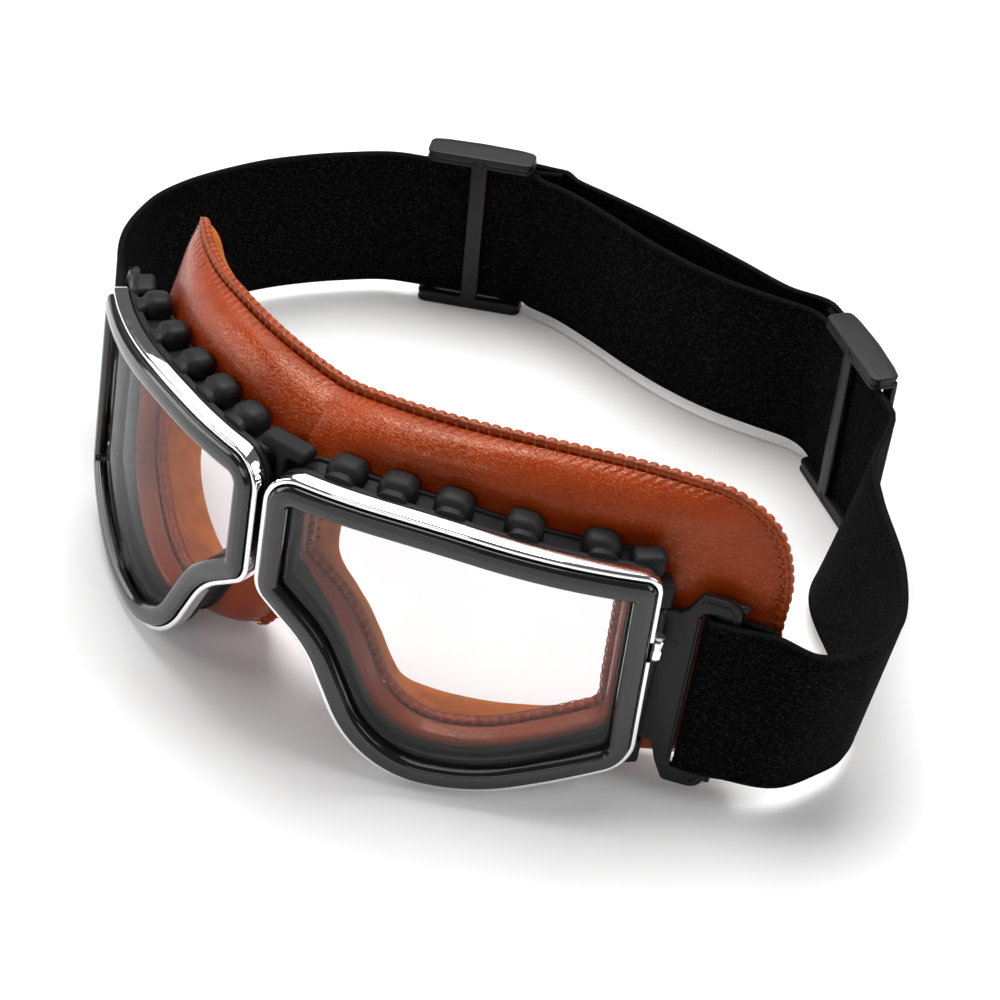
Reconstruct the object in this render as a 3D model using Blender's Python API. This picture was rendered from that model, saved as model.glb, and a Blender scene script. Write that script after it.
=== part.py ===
"""Riding goggles: two wrapped lens frames with bright rims, a padded leather face cushion and an elastic strap.

Metres, +Z up. The lens fronts face -Y, the wearer's face is towards +Y, and the goggles stand on the lower
edges of the rims, the cushion and the two strap sliders. The origin is under the middle of the whole part.
"""
import math

import bmesh
import bpy
from mathutils import Matrix, Vector

# Width of one lens frame, along its curved front. Most places in plan follow it.
FRAME_WIDTH = 0.0888

# Face curve: both lens fronts lie on one upright arc that starts near the nose and leans back with height.
FACE_RADIUS_SHARE = 1.48761
FACE_RADIUS = FRAME_WIDTH * FACE_RADIUS_SHARE
FACE_START_ANGLE = math.radians(7.4)
LEAN_SHARE = 0.11
NOSE_HALF_GAP = 0.0010

# Outline of one rim, unrolled: how far each corner lies from the nose side as a share of the width, its height,
# and its radius.
FRAME_HEIGHT = 0.0684
BROW_SHARE = 0.42793
BROW_HEIGHT = 0.0676
TEMPLE_TOP_SHARE = 0.98311
TEMPLE_TOP_HEIGHT = 0.0592
TEMPLE_LOW_HEIGHT = 0.0100
CHEEK_SHARE = 0.63063
CHIN_SHARE = 0.31982
NOSE_CUT_SHARE = 0.14865
NOSE_CUT_HEIGHT = 0.0284
NOSE_LOW_HEIGHT = 0.0380
NOSE_TOP_RADIUS = 0.0080
BROW_RADIUS = 0.150
TEMPLE_TOP_RADIUS = 0.0048
TEMPLE_LOW_RADIUS = 0.0080
CHEEK_RADIUS = 0.060
CHIN_RADIUS = 0.0280
NOSE_CUT_RADIUS = 0.0250
NOSE_LOW_RADIUS = 0.0062
LEAST_RADIUS = 0.0004

# Bright rim: a C-shaped strip round the frame, open at the temple where the clasp closes it.
RIM_DEPTH = 0.0034
RIM_SHEET = 0.0005
RIM_FRONT_LIP = 0.0012
RIM_REAR_LIP = 0.0009
FIT_GAP = 0.0003
CLASP_HEIGHT_PLACE = 0.0405
CLASP_LENGTH = 0.0046
CLASP_RADIUS = 0.0015
CLASP_BORE_RADIUS = 0.0010
CLASP_STAND_OFF = 0.0011
SCREW_RADIUS = 0.0007
SCREW_HEAD_RADIUS = 0.0012
SCREW_HEAD_HEIGHT = 0.0007
SCREW_SLOT_WIDTH = 0.0004
SCREW_TAIL = 0.0006

# Lens surround and lens.
BEZEL_FOOT = 0.0008
BEZEL_WIDTH = 0.0061
BEZEL_PROUD = 0.0015
BEZEL_STEP = 0.0006
LENS_THICKNESS = 0.0020
LENS_SEAT = 0.0015
LENS_COLUMNS = 22

# Eyecup behind the lens, with the hooded vents along its brow.
CUP_LIP = 0.0007
CUP_FLANGE = 0.0017
CUP_WALL = 0.0016
CUP_WALL_INSET = 0.0024
CUP_DEPTH = 0.0124
CUP_REAR_FLANGE = 0.0012
CUP_REAR_INSET = 0.0016
LENS_SHOULDER_INSET = 0.0060
LENS_SHOULDER = 0.0010
HOOD_SHARES = (0.167, 0.307, 0.454, 0.636, 0.835)
HOOD_WIDTH = 0.0092
HOOD_HEIGHT = 0.0024
HOOD_ROOT = 0.0032
HOOD_ROUND = 0.0016
END_BLOCK_LENGTH = 0.0080
END_BLOCK_HEIGHT = 0.0018
END_BLOCK_ROOT = 0.0032
END_BLOCK_SET_BACK = 0.0024

# Nose bridge between the eyecups.
BRIDGE_LOW = 0.0430
BRIDGE_TOP = 0.0690
BRIDGE_HALF_WIDTH = 0.0015
BRIDGE_CAP_HALF_WIDTH = 0.0062
BRIDGE_CAP_HEIGHT = 0.0030
BRIDGE_ROUND = 0.0005

# Strap brackets on their hinge pins.
PIN_STAND_OFF = 0.0010
PIN_PLACE = FRAME_WIDTH + PIN_STAND_OFF
PIN_DEPTH = 0.0076
PIN_RADIUS = 0.0009
PIN_BORE_RADIUS = 0.0012
KNUCKLE_RADIUS = 0.0022
KNUCKLE_LOW = 0.0125
KNUCKLE_TOP = 0.0468
LUG_HEIGHT = 0.0062
LUG_PLAY = 0.0004
LUG_WIDTH = 0.0066
LUG_OVERHANG = 0.0020
LUG_BACK = 0.0020
LUG_ROUND = 0.0008
PIN_END = 0.0006
BRACKET_THICKNESS = 0.0020
BRACKET_REACH = 0.0175
BRACKET_BAR = 0.0050
BRACKET_SLOT = 0.0042
BRACKET_LOW = 0.0030
BRACKET_TOP = 0.0526
BRACKET_SHOULDER = 0.0045
BRACKET_EAR_START = 0.0044
BRACKET_EAR_SLOPE = 0.0016
BRACKET_CORNER = 0.0005
BRACKET_ROUND = 0.0004
BRACKET_KNOB = 0.0022
RIGHT_BRACKET_ANGLE = math.radians(22)
LEFT_BRACKET_ANGLE = math.radians(38)

# Elastic strap, the band across its back, and the two sliders. The strap is one length from bracket to
# bracket; the band lies behind it and is sewn round the rear bar of each slider.
STRAP_WIDTH = 0.0400
STRAP_THICKNESS = 0.0014
STRAP_LIFT = 0.0035
STRAP_FRONT_RISE = 0.0040
LOOP_LEG = 0.0072
LEG_BOW = 0.0003
JOIN_GAP = 0.0004
LOOP_TURN_STEPS = 8
LOOP_WIDTH_SHARE = 1.27815
LOOP_DEPTH_SHARE = 2.04955
LOOP_HALF_WIDTH = FRAME_WIDTH * LOOP_WIDTH_SHARE
LOOP_DEPTH = FRAME_WIDTH * LOOP_DEPTH_SHARE
SLIDER_LENGTH = 0.0280
SLIDER_RAIL = 0.0031
SLIDER_BAR = 0.0016
SLIDER_CENTRE_BAR = 0.0044
SLIDER_SIDE_BAR = 0.0040
SLIDER_PLAY = 0.0004
SLIDER_BOW = 0.0012
SLIDER_TRAVEL = 0.0050
SLIDER_CORNER = 0.0017
RIGHT_SLIDER_TURN = math.radians(-34)
LEFT_SLIDER_TURN = math.radians(27)
RIGHT_SLIDER_SHARES = (0.49339, 0.88736)
LEFT_SLIDER_SHARES = (-0.55507, 0.91484)
CUT_OVERRUN = 0.0020

# Route of the strap in plan, as shares of the half width and of the depth of the whole loop, with the
# share of the front rise, and how far the lower edge lies sideways and backwards as shares of its width.
RIGHT_ROUTE_SHARES = (
    (0.943, 0.338, 0.38, -0.08, -0.02),
    (0.989, 0.380, 0.25, -0.12, 0.02),
    (1.008, 0.429, 0.12, -0.14, 0.01),
    (0.989, 0.484, 0.00, -0.17, 0.04),
    (0.910, 0.562, 0.00, -0.27, 0.03),
    (0.784, 0.646, 0.00, -0.30, 0.00),
    (0.700, 0.717, 0.00, -0.20, 0.00),
)
REAR_ROUTE_SHARES = (
    (0.325, 0.939, 0.00, 0.00, 0.00),
    (0.235, 0.929, 0.00, 0.00, 0.00),
    (0.130, 0.918, 0.00, 0.00, 0.00),
    (0.020, 0.916, 0.00, 0.00, 0.00),
    (-0.100, 0.923, 0.00, 0.00, 0.00),
    (-0.220, 0.936, 0.00, 0.00, 0.00),
    (-0.330, 0.945, 0.00, 0.00, 0.00),
    (-0.410, 0.943, 0.00, 0.00, 0.00),
)
LEFT_ROUTE_SHARES = (
    (-0.810, 0.800, 0.00, 0.00, 0.00),
    (-0.905, 0.716, 0.03, 0.00, 0.00),
    (-0.957, 0.636, 0.12, 0.00, 0.00),
    (-0.979, 0.569, 0.25, 0.00, -0.01),
    (-0.974, 0.505, 0.38, 0.00, -0.03),
    (-0.921, 0.421, 0.62, 0.00, -0.07),
)
BAND_ROUTE_SHARES = (
    (0.235, 0.963, 0.00, 0.00, 0.00),
    (0.110, 0.970, 0.00, 0.00, 0.00),
    (-0.020, 0.976, 0.00, 0.00, 0.00),
    (-0.150, 0.980, 0.00, 0.00, 0.00),
    (-0.270, 0.980, 0.00, 0.00, 0.00),
    (-0.350, 0.979, 0.00, 0.00, 0.00),
)
ROUTE_STEPS = 3

# Face cushion: leather outside, foam, and a suede face side, laced together round both edges.
PAD_NOSE_DEPTH = 0.0255
PAD_NOSE_ARC_SHARE = 0.58559
PAD_RIGHT_ARC_SHARE = 0.58559
PAD_LEFT_ARC_SHARE = 0.54054
PAD_BROW_SHARE = 0.45045
PAD_LOBE_SHARE = 0.20270
PAD_END_STAND_OFF = 0.0127
PAD_NOSE_ARC = FRAME_WIDTH * PAD_NOSE_ARC_SHARE
PAD_NOSE_TURN = math.radians(32)
PAD_RIGHT_ARC = FRAME_WIDTH * PAD_RIGHT_ARC_SHARE
PAD_RIGHT_TURN = math.radians(-18)
PAD_LEFT_ARC = FRAME_WIDTH * PAD_LEFT_ARC_SHARE
PAD_LEFT_TURN = math.radians(30)
LEFT_LENGTH_SHARE = 0.93
PAD_TOP = 0.0762
PAD_TOP_MIDDLE = 0.0745
PAD_BROW_RISE = 0.0004
PAD_BROW_PLACE = FRAME_WIDTH * PAD_BROW_SHARE
PAD_END_PLACE = FRAME_WIDTH + PAD_END_STAND_OFF
PAD_END_TOP = 0.0700
PAD_END_LOW = 0.0070
PAD_BOTTOM = 0.0026
PAD_END_TOP_RADIUS = 0.0190
PAD_END_LOW_RADIUS = 0.0150
PAD_LOBE_PLACE = FRAME_WIDTH * PAD_LOBE_SHARE
PAD_LOBE_RADIUS = 0.0090
PAD_ARCH_PLACE = 0.0070
PAD_ARCH_HEIGHT = 0.0190
PAD_ARCH_TOP = 0.0270
PAD_ARCH_RADIUS = 0.0060
HEM_THICKNESS = 0.0028
EYE_HEM_INSETS = (0.0072, 0.0072, 0.0058, 0.0076, 0.0076, 0.0078, 0.0066, 0.0056)
EYE_HEM_DEPTH = 0.0128
COLLAR_FRONT = 0.0078
COLLAR_INSET = 0.0047
COLLAR_TIP_INSET = 0.0051
COLLAR_TIP_SET_BACK = 0.0004
PAD_SEAT_DEPTH = 0.0129
PAD_SEAT_INSET = 0.0020
PAD_CROWN = 0.0046
PAD_BACK_CROWN = 0.0050
PAD_NOSE_CROWN = 0.0113
SKIN_THICKNESS = 0.0011
MOST_SKIN_SHARE = 0.28
MOST_COVER_SHARE = 0.43
FOAM_GAP = 0.0014
LACING_RADIUS = 0.0007
LACING_SIDES = 6
END_CROWN_SHARE = 0.02
LOW_CROWN_SHARE = 0.30
REAR_SHARES = (0.0, 0.22, 0.50, 0.75, 0.90, 1.0)
REAR_SWELLS = (0.0, 0.35, 0.85, 0.90, 0.50, 0.0)
EYE_MARGIN_SHARE = 0.45
SEAM_MARGIN_SHARE = 0.55
BROW_MARGIN_SHARE = 0.15
FLANK_SHARES = (0.42, 0.80)
LOW_FLANK_SHARE = 0.8
NOSE_SWELL_POWER = 0.6
BROW_SWELL_POWER = 3
NOSE_REAR_LIFT = 0.0017
NOSE_EYE_SHARES = (0.0, 0.14, 0.33, 0.55, 0.78, 0.90, 0.96)
NOSE_HEIGHT_SHARES = (0.0, 0.15, 0.36, 0.58, 0.80, 0.93, 1.0)
NOSE_FORWARD_SHARES = (0.0, 0.44, 0.80, 0.96)

# Colours as linear values.
CHROME_COLOUR = (0.80, 0.81, 0.82)
GLOSS_BLACK = (0.010, 0.010, 0.011)
MATTE_BLACK = (0.018, 0.018, 0.019)
STRAP_BLACK = (0.006, 0.006, 0.007)
LENS_COLOUR = (0.92, 0.93, 0.93)
LEATHER_COLOUR = (0.36, 0.085, 0.018)
SUEDE_COLOUR = (0.42, 0.125, 0.025)
FOAM_COLOUR = (0.12, 0.12, 0.12)
THREAD_COLOUR = (0.30, 0.080, 0.020)
STEEL_COLOUR = (0.55, 0.55, 0.56)

ROUND_STEPS = 16
WELD_GAP = 0.00003
MIDDLE_GAP = 0.000004
SHARP_ANGLE = math.radians(35)
BEND_STEPS = 6
TIGHT_BEND_STEPS = 3
RIGHT, LEFT = 1, -1
SIDE_NAMES = {RIGHT: "right", LEFT: "left"}
BRACKET_ANGLES = {RIGHT: RIGHT_BRACKET_ANGLE, LEFT: LEFT_BRACKET_ANGLE}
SLIDER_PLACES = {RIGHT: (RIGHT_SLIDER_SHARES, RIGHT_SLIDER_TURN), LEFT: (LEFT_SLIDER_SHARES, LEFT_SLIDER_TURN)}

for old in list(bpy.data.objects):
    bpy.data.objects.remove(old, do_unlink=True)

goggles = bpy.data.collections.new("goggles")
cutters = bpy.data.collections.new("cutters")
bpy.context.scene.collection.children.link(goggles)
bpy.context.scene.collection.children.link(cutters)
cutters.hide_render = True

root = bpy.data.objects.new("goggles_origin", None)
goggles.objects.link(root)


def make_material(name, colour, roughness, metallic=0.0, transmission=0.0):
    material = bpy.data.materials.new(name)
    material.use_nodes = True
    shader = material.node_tree.nodes["Principled BSDF"]
    shader.inputs["Base Color"].default_value = (*colour, 1.0)
    shader.inputs["Roughness"].default_value = roughness
    shader.inputs["Metallic"].default_value = metallic
    shader.inputs["Transmission Weight"].default_value = transmission
    return material


chrome = make_material("chrome", CHROME_COLOUR, 0.08, 1.0)
gloss_plastic = make_material("gloss_black_plastic", GLOSS_BLACK, 0.18)
rubber = make_material("black_rubber", MATTE_BLACK, 0.55)
bracket_plastic = make_material("black_plastic", MATTE_BLACK, 0.40)
clear_lens = make_material("clear_lens", LENS_COLOUR, 0.04, 0.0, 1.0)
leather = make_material("tan_leather", LEATHER_COLOUR, 0.35)
suede = make_material("suede", SUEDE_COLOUR, 0.95)
foam = make_material("foam", FOAM_COLOUR, 1.0)
thread = make_material("thread", THREAD_COLOUR, 0.60)
elastic = make_material("black_elastic", STRAP_BLACK, 0.85)
steel = make_material("steel", STEEL_COLOUR, 0.30, 1.0)


def add_object(name, shape, material, collection=None):
    """Puts a finished bmesh into a named object, with its faces turned outwards."""
    bmesh.ops.recalc_face_normals(shape, faces=shape.faces)
    mesh = bpy.data.meshes.new(name)
    shape.to_mesh(mesh)
    shape.free()
    mesh.shade_smooth()
    mesh.set_sharp_from_angle(angle=SHARP_ANGLE)
    made = bpy.data.objects.new(name, mesh)
    if material is None:
        cutters.objects.link(made)
        made.hide_render = True
        made.display_type = "WIRE"
    else:
        mesh.materials.append(material)
        goggles.objects.link(made)
    made.parent = root
    return made


def boolean(target, tool, operation):
    """Joins the tool to the target, or cuts it away."""
    modifier = target.modifiers.new(tool.name, "BOOLEAN")
    modifier.operation = operation
    modifier.solver = "EXACT"
    modifier.object = tool


def face_angle(along):
    return FACE_START_ANGLE + along / FACE_RADIUS


def on_face(side, along, depth, height):
    """A point by its distance along the lens front, its depth behind it and its height."""
    angle = face_angle(along)
    x = NOSE_HALF_GAP + FACE_RADIUS * (math.sin(angle) - math.sin(FACE_START_ANGLE)) - depth * math.sin(angle)
    y = FACE_RADIUS * (math.cos(FACE_START_ANGLE) - math.cos(angle)) + depth * math.cos(angle)
    return Vector((side * x, y + LEAN_SHARE * height, height))


# Each corner: place, height, radius, steps in its arc, steps along the edge to the next corner.
FRAME_CORNERS = (
    (0.0, FRAME_HEIGHT, NOSE_TOP_RADIUS, 5, 2),
    (FRAME_WIDTH * BROW_SHARE, BROW_HEIGHT, BROW_RADIUS, 2, 3),
    (FRAME_WIDTH * TEMPLE_TOP_SHARE, TEMPLE_TOP_HEIGHT, TEMPLE_TOP_RADIUS, 4, 1),
    (FRAME_WIDTH, TEMPLE_LOW_HEIGHT, TEMPLE_LOW_RADIUS, 4, 2),
    (FRAME_WIDTH * CHEEK_SHARE, 0.0, CHEEK_RADIUS, 3, 1),
    (FRAME_WIDTH * CHIN_SHARE, 0.0, CHIN_RADIUS, 6, 1),
    (FRAME_WIDTH * NOSE_CUT_SHARE, NOSE_CUT_HEIGHT, NOSE_CUT_RADIUS, 3, 1),
    (0.0, NOSE_LOW_HEIGHT, NOSE_LOW_RADIUS, 4, 1),
)
NOSE_TOP, BROW, TEMPLE_TOP, TEMPLE_LOW, CHEEK, CHIN, NOSE_CUT, NOSE_LOW = range(len(FRAME_CORNERS))


def inset_corners(corners, inset):
    """The same corners with every edge moved inwards, by one distance or by one for each edge."""
    places = [Vector(corner[:2]) for corner in corners]
    count = len(places)
    insets = inset if isinstance(inset, tuple) else (inset,) * count
    moved = []
    for index, corner in enumerate(corners):
        before = (places[index] - places[index - 1]).normalized()
        after = (places[(index + 1) % count] - places[index]).normalized()
        turn = before.x * after.y - before.y * after.x
        one, two = Vector((before.y, -before.x)), Vector((after.y, -after.x))
        first, second = insets[index - 1], insets[index]
        shared = one.dot(two)
        step = one * (first - shared * second) + two * (second - shared * first)
        step /= 1 - shared * shared
        radius = corner[2] - first if turn < 0 else corner[2] + first
        moved.append((places[index] + step, max(radius, LEAST_RADIUS), *corner[3:]))
    return moved


def corner_arc(before, here, after, radius, steps):
    """The points of one rounded corner."""
    arriving = (here - before).normalized()
    leaving = (after - here).normalized()
    turn = math.atan2(arriving.x * leaving.y - arriving.y * leaving.x, arriving.dot(leaving))
    reach = radius * math.tan(abs(turn) / 2)
    start = here - arriving * reach
    across = Vector((-arriving.y, arriving.x)) * math.copysign(1, turn)
    centre = start + across * radius
    points = []
    for step in range(steps + 1):
        angle = turn * step / steps
        spoke = Matrix.Rotation(angle, 2) @ (start - centre)
        points.append(centre + spoke)
    return points


def frame_outline(inset):
    """The rim outline moved inwards, as one list of points for each corner with its following edge."""
    corners = inset_corners(FRAME_CORNERS, inset)
    count = len(corners)
    arcs = []
    for index, (place, radius, steps, _) in enumerate(corners):
        arcs.append(corner_arc(corners[index - 1][0], place, corners[(index + 1) % count][0], radius, steps))
    runs = []
    for index, arc in enumerate(arcs):
        following = arcs[(index + 1) % count][0]
        steps = corners[index][3]
        along_edge = [arc[-1].lerp(following, step / steps) for step in range(1, steps)]
        runs.append(arc + along_edge)
    return runs


def outline_points(inset):
    return [point for run in frame_outline(inset) for point in run]


def span_at(along, inset):
    """The lowest and highest point of the outline at a distance along the lens front."""
    points = outline_points(inset)
    heights = []
    for one, two in zip(points, points[1:] + points[:1]):
        if min(one.x, two.x) <= along <= max(one.x, two.x) and one.x != two.x:
            heights.append(one.lerp(two, (along - one.x) / (two.x - one.x)).y)
    return min(heights), max(heights)


def skin_rows(shape, rows, closed):
    """Faces between rows of points, where every row is one closed section."""
    made = [[shape.verts.new(point) for point in row] for row in rows]
    pairs = list(zip(made, made[1:]))
    if closed:
        pairs.append((made[-1], made[0]))
    else:
        shape.faces.new(made[0])
        shape.faces.new(list(reversed(made[-1])))
    for one, two in pairs:
        for index in range(len(one)):
            following = (index + 1) % len(one)
            shape.faces.new((one[index], one[following], two[following], two[index]))


def frame_ring(name, side, section, material):
    """A ring with one section, given as inset and depth, carried round the rim outline."""
    lanes = [outline_points(inset) for inset, _ in section]
    rows = []
    for station in range(len(lanes[0])):
        rows.append([on_face(side, lane[station].x, depth, lane[station].y)
                     for lane, (_, depth) in zip(lanes, section)])
    shape = bmesh.new()
    skin_rows(shape, rows, True)
    return add_object(name, shape, material)


def clasp_ends():
    low = CLASP_HEIGHT_PLACE - CLASP_LENGTH / 2 - FIT_GAP
    return low, low + CLASP_LENGTH + 2 * FIT_GAP


def temple_edge(inset, height):
    """The point of the straight temple edge at a height."""
    runs = frame_outline(inset)
    top, low = runs[TEMPLE_TOP][-1], runs[TEMPLE_LOW][0]
    return top.lerp(low, (top.y - height) / (top.y - low.y))


def make_rim(side):
    """The bright strip: it starts under the clasp, runs round the frame and ends above the clasp."""
    section = (
        (0.0, 0.0),
        (0.0, RIM_DEPTH),
        (RIM_REAR_LIP, RIM_DEPTH),
        (RIM_REAR_LIP, RIM_DEPTH - RIM_SHEET),
        (RIM_SHEET, RIM_DEPTH - RIM_SHEET),
        (RIM_SHEET, RIM_SHEET),
        (RIM_FRONT_LIP, RIM_SHEET),
        (RIM_FRONT_LIP, 0.0),
    )
    low, high = clasp_ends()
    lanes = []
    for inset, _ in section:
        runs = frame_outline(inset)
        order = runs[TEMPLE_LOW:] + runs[:TEMPLE_TOP + 1]
        lane = [temple_edge(inset, low)]
        for run in order:
            lane.extend(run)
        lane.append(temple_edge(inset, high))
        lanes.append(lane)
    rows = []
    for station in range(len(lanes[0])):
        rows.append([on_face(side, lane[station].x, depth, lane[station].y)
                     for lane, (_, depth) in zip(lanes, section)])
    shape = bmesh.new()
    skin_rows(shape, rows, False)
    add_object(f"{SIDE_NAMES[side]}_chrome_rim", shape, chrome)


def make_bezel(side):
    """The black surround that stands proud of the rim and holds the lens in a rebate."""
    back = RIM_SHEET + FIT_GAP + BEZEL_FOOT
    front_foot = RIM_SHEET + FIT_GAP
    shoulder = RIM_FRONT_LIP + FIT_GAP
    seat = BEZEL_WIDTH - LENS_SEAT - FIT_GAP
    section = (
        (front_foot, back),
        (front_foot, front_foot),
        (shoulder, front_foot),
        (shoulder, -BEZEL_STEP),
        (shoulder + BEZEL_STEP, -BEZEL_PROUD + FIT_GAP),
        (BEZEL_WIDTH - BEZEL_STEP, -BEZEL_PROUD),
        (BEZEL_WIDTH, -BEZEL_STEP),
        (BEZEL_WIDTH, BEZEL_STEP),
        (seat, BEZEL_STEP),
        (seat, back),
    )
    frame_ring(f"{SIDE_NAMES[side]}_lens_surround", side, section, gloss_plastic)


def make_lens(side):
    """A clear curved plate behind the surround, built as upright columns along the lens front."""
    inset = BEZEL_WIDTH - LENS_SEAT
    points = outline_points(inset)
    first = min(point.x for point in points) + LEAST_RADIUS
    last = max(point.x for point in points) - LEAST_RADIUS
    front = BEZEL_STEP + FIT_GAP
    rows = []
    for column in range(LENS_COLUMNS + 1):
        along = first + (last - first) * column / LENS_COLUMNS
        low, high = span_at(along, inset)
        rear = front + LENS_THICKNESS
        rows.append([on_face(side, along, depth, height)
                     for depth, height in ((front, low), (front, high), (rear, high), (rear, low))])
    shape = bmesh.new()
    skin_rows(shape, rows, False)
    add_object(f"{SIDE_NAMES[side]}_lens", shape, clear_lens)


def face_block(name, side, along, depth, height, round_edge):
    """A block with rounded edges, bent on to the lens front's curve. Each of the three is a pair of limits."""
    shape = bmesh.new()
    bmesh.ops.create_cube(shape, size=1.0)
    spans = (along, depth, height)
    for vertex in shape.verts:
        for axis, (low, high) in enumerate(spans):
            vertex.co[axis] = high if vertex.co[axis] > 0 else low
    bmesh.ops.bevel(shape, geom=shape.edges[:], offset=round_edge, segments=2, profile=0.5, affect="EDGES")
    for vertex in shape.verts:
        vertex.co = on_face(side, *vertex.co)
    return add_object(name, shape, None)


def cylinder(name, radius, low, high, material=None):
    """An upright cylinder on the object's own Z axis."""
    shape = bmesh.new()
    bmesh.ops.create_cone(shape, cap_ends=True, segments=ROUND_STEPS, radius1=radius, radius2=radius,
                          depth=high - low)
    bmesh.ops.translate(shape, verts=shape.verts, vec=(0, 0, (low + high) / 2))
    return add_object(name, shape, material)


def lean_matrix(side, along, depth):
    """Stands an upright piece on the lens front's curve, tipped back with it."""
    foot = on_face(side, along, depth, 0.0)
    return Matrix.Translation(foot) @ Matrix.Rotation(-math.atan(LEAN_SHARE), 4, "X")


def lens_back():
    return BEZEL_STEP + 2 * FIT_GAP + LENS_THICKNESS


def make_eyecup(side):
    """The rubber cup: a lip in the rim's channel, a shoulder behind the lens, a wall and a rear flange."""
    lip = RIM_SHEET + BEZEL_FOOT + 3 * FIT_GAP
    lip_back = RIM_DEPTH - RIM_SHEET - FIT_GAP
    lens_edge = BEZEL_WIDTH - LENS_SEAT - FIT_GAP
    flange = RIM_DEPTH + FIT_GAP
    inner = CUP_WALL_INSET + CUP_WALL
    shoulder = lens_back() + LENS_SHOULDER
    section = (
        (RIM_SHEET + FIT_GAP, lip),
        (lens_edge, lip),
        (lens_edge, lens_back()),
        (LENS_SHOULDER_INSET, lens_back()),
        (LENS_SHOULDER_INSET, shoulder),
        (inner, shoulder + LENS_SHOULDER),
        (inner, CUP_DEPTH),
        (CUP_REAR_INSET, CUP_DEPTH),
        (CUP_REAR_INSET, CUP_DEPTH - CUP_REAR_FLANGE),
        (CUP_WALL_INSET, CUP_DEPTH - CUP_REAR_FLANGE),
        (CUP_WALL_INSET, flange + CUP_FLANGE),
        (FIT_GAP, flange + CUP_FLANGE),
        (FIT_GAP, flange),
        (RIM_REAR_LIP + FIT_GAP, flange),
        (RIM_REAR_LIP + FIT_GAP, lip_back),
        (RIM_SHEET + FIT_GAP, lip_back),
    )
    cup = frame_ring(f"{SIDE_NAMES[side]}_eyecup", side, section, rubber)
    depth = (flange + CUP_FLANGE - HOOD_ROUND, CUP_DEPTH - FIT_GAP)
    for number, share in enumerate(HOOD_SHARES, 1):
        along = FRAME_WIDTH * share
        top = span_at(along, 0.0)[1]
        block = face_block(f"cut_{SIDE_NAMES[side]}_hood_{number}", side,
                           (along - HOOD_WIDTH / 2, along + HOOD_WIDTH / 2), depth,
                           (top - HOOD_ROOT, top + HOOD_HEIGHT), HOOD_ROUND)
        boolean(cup, block, "UNION")
    end_block = face_block(f"cut_{SIDE_NAMES[side]}_end_block", side,
                           (FRAME_WIDTH - END_BLOCK_LENGTH, FRAME_WIDTH - FIT_GAP),
                           (depth[0], depth[1] - END_BLOCK_SET_BACK),
                           (TEMPLE_TOP_HEIGHT - END_BLOCK_ROOT, TEMPLE_TOP_HEIGHT + END_BLOCK_HEIGHT),
                           HOOD_ROUND)
    boolean(cup, end_block, "UNION")
    add_hinge_lugs(cup, side)


def lug_spans():
    top = (KNUCKLE_TOP + LUG_PLAY, KNUCKLE_TOP + LUG_PLAY + LUG_HEIGHT)
    low = (KNUCKLE_LOW - LUG_PLAY - LUG_HEIGHT, KNUCKLE_LOW - LUG_PLAY)
    return low, top


def add_hinge_lugs(cup, side):
    """Two lugs at the temple that carry the bracket's pin."""
    along = (PIN_PLACE + LUG_OVERHANG - LUG_WIDTH, PIN_PLACE + LUG_OVERHANG)
    depth = (RIM_DEPTH + CUP_FLANGE, PIN_DEPTH + LUG_BACK)
    for label, height in zip(("low", "top"), lug_spans()):
        block = face_block(f"cut_{SIDE_NAMES[side]}_lug_{label}", side, along, depth, height, LUG_ROUND)
        boolean(cup, block, "UNION")
    bore = cylinder(f"cut_{SIDE_NAMES[side]}_pin_bore", PIN_BORE_RADIUS, -CUT_OVERRUN, BRACKET_TOP + LUG_HEIGHT)
    bore.matrix_world = lean_matrix(side, PIN_PLACE, PIN_DEPTH)
    boolean(cup, bore, "DIFFERENCE")


def make_pin(side):
    low, top = lug_spans()
    pin = cylinder(f"{SIDE_NAMES[side]}_bracket_pin", PIN_RADIUS, low[0] + PIN_END, top[1] - PIN_END, steel)
    pin.matrix_world = lean_matrix(side, PIN_PLACE, PIN_DEPTH)


def make_clasp(side):
    """A small barrel between the rim's ends, and the slotted screw through it."""
    half = CLASP_LENGTH / 2
    depth = RIM_DEPTH / 2
    along = temple_edge(0.0, CLASP_HEIGHT_PLACE).x + CLASP_STAND_OFF
    stand = lean_matrix(side, along, depth) @ Matrix.Translation((0, 0, CLASP_HEIGHT_PLACE))
    barrel = cylinder(f"{SIDE_NAMES[side]}_clasp_barrel", CLASP_RADIUS, -half, half, chrome)
    barrel.matrix_world = stand
    bore = cylinder(f"cut_{SIDE_NAMES[side]}_clasp_bore", CLASP_BORE_RADIUS,
                    -half - CUT_OVERRUN, half + CUT_OVERRUN)
    bore.matrix_world = stand
    boolean(barrel, bore, "DIFFERENCE")

    screw = cylinder(f"{SIDE_NAMES[side]}_clasp_screw", SCREW_RADIUS,
                     -half - SCREW_TAIL, half + 2 * FIT_GAP, steel)
    screw.matrix_world = stand
    head_low = half + FIT_GAP
    head = cylinder(f"cut_{SIDE_NAMES[side]}_screw_head", SCREW_HEAD_RADIUS,
                    head_low, head_low + SCREW_HEAD_HEIGHT)
    head.matrix_world = stand
    boolean(screw, head, "UNION")
    slot = box(f"cut_{SIDE_NAMES[side]}_screw_slot",
               (-SCREW_HEAD_RADIUS - CUT_OVERRUN, SCREW_HEAD_RADIUS + CUT_OVERRUN),
               (-SCREW_SLOT_WIDTH / 2, SCREW_SLOT_WIDTH / 2),
               (head_low + SCREW_HEAD_HEIGHT / 2, head_low + CUT_OVERRUN))
    slot.matrix_world = stand
    boolean(screw, slot, "DIFFERENCE")


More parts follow.
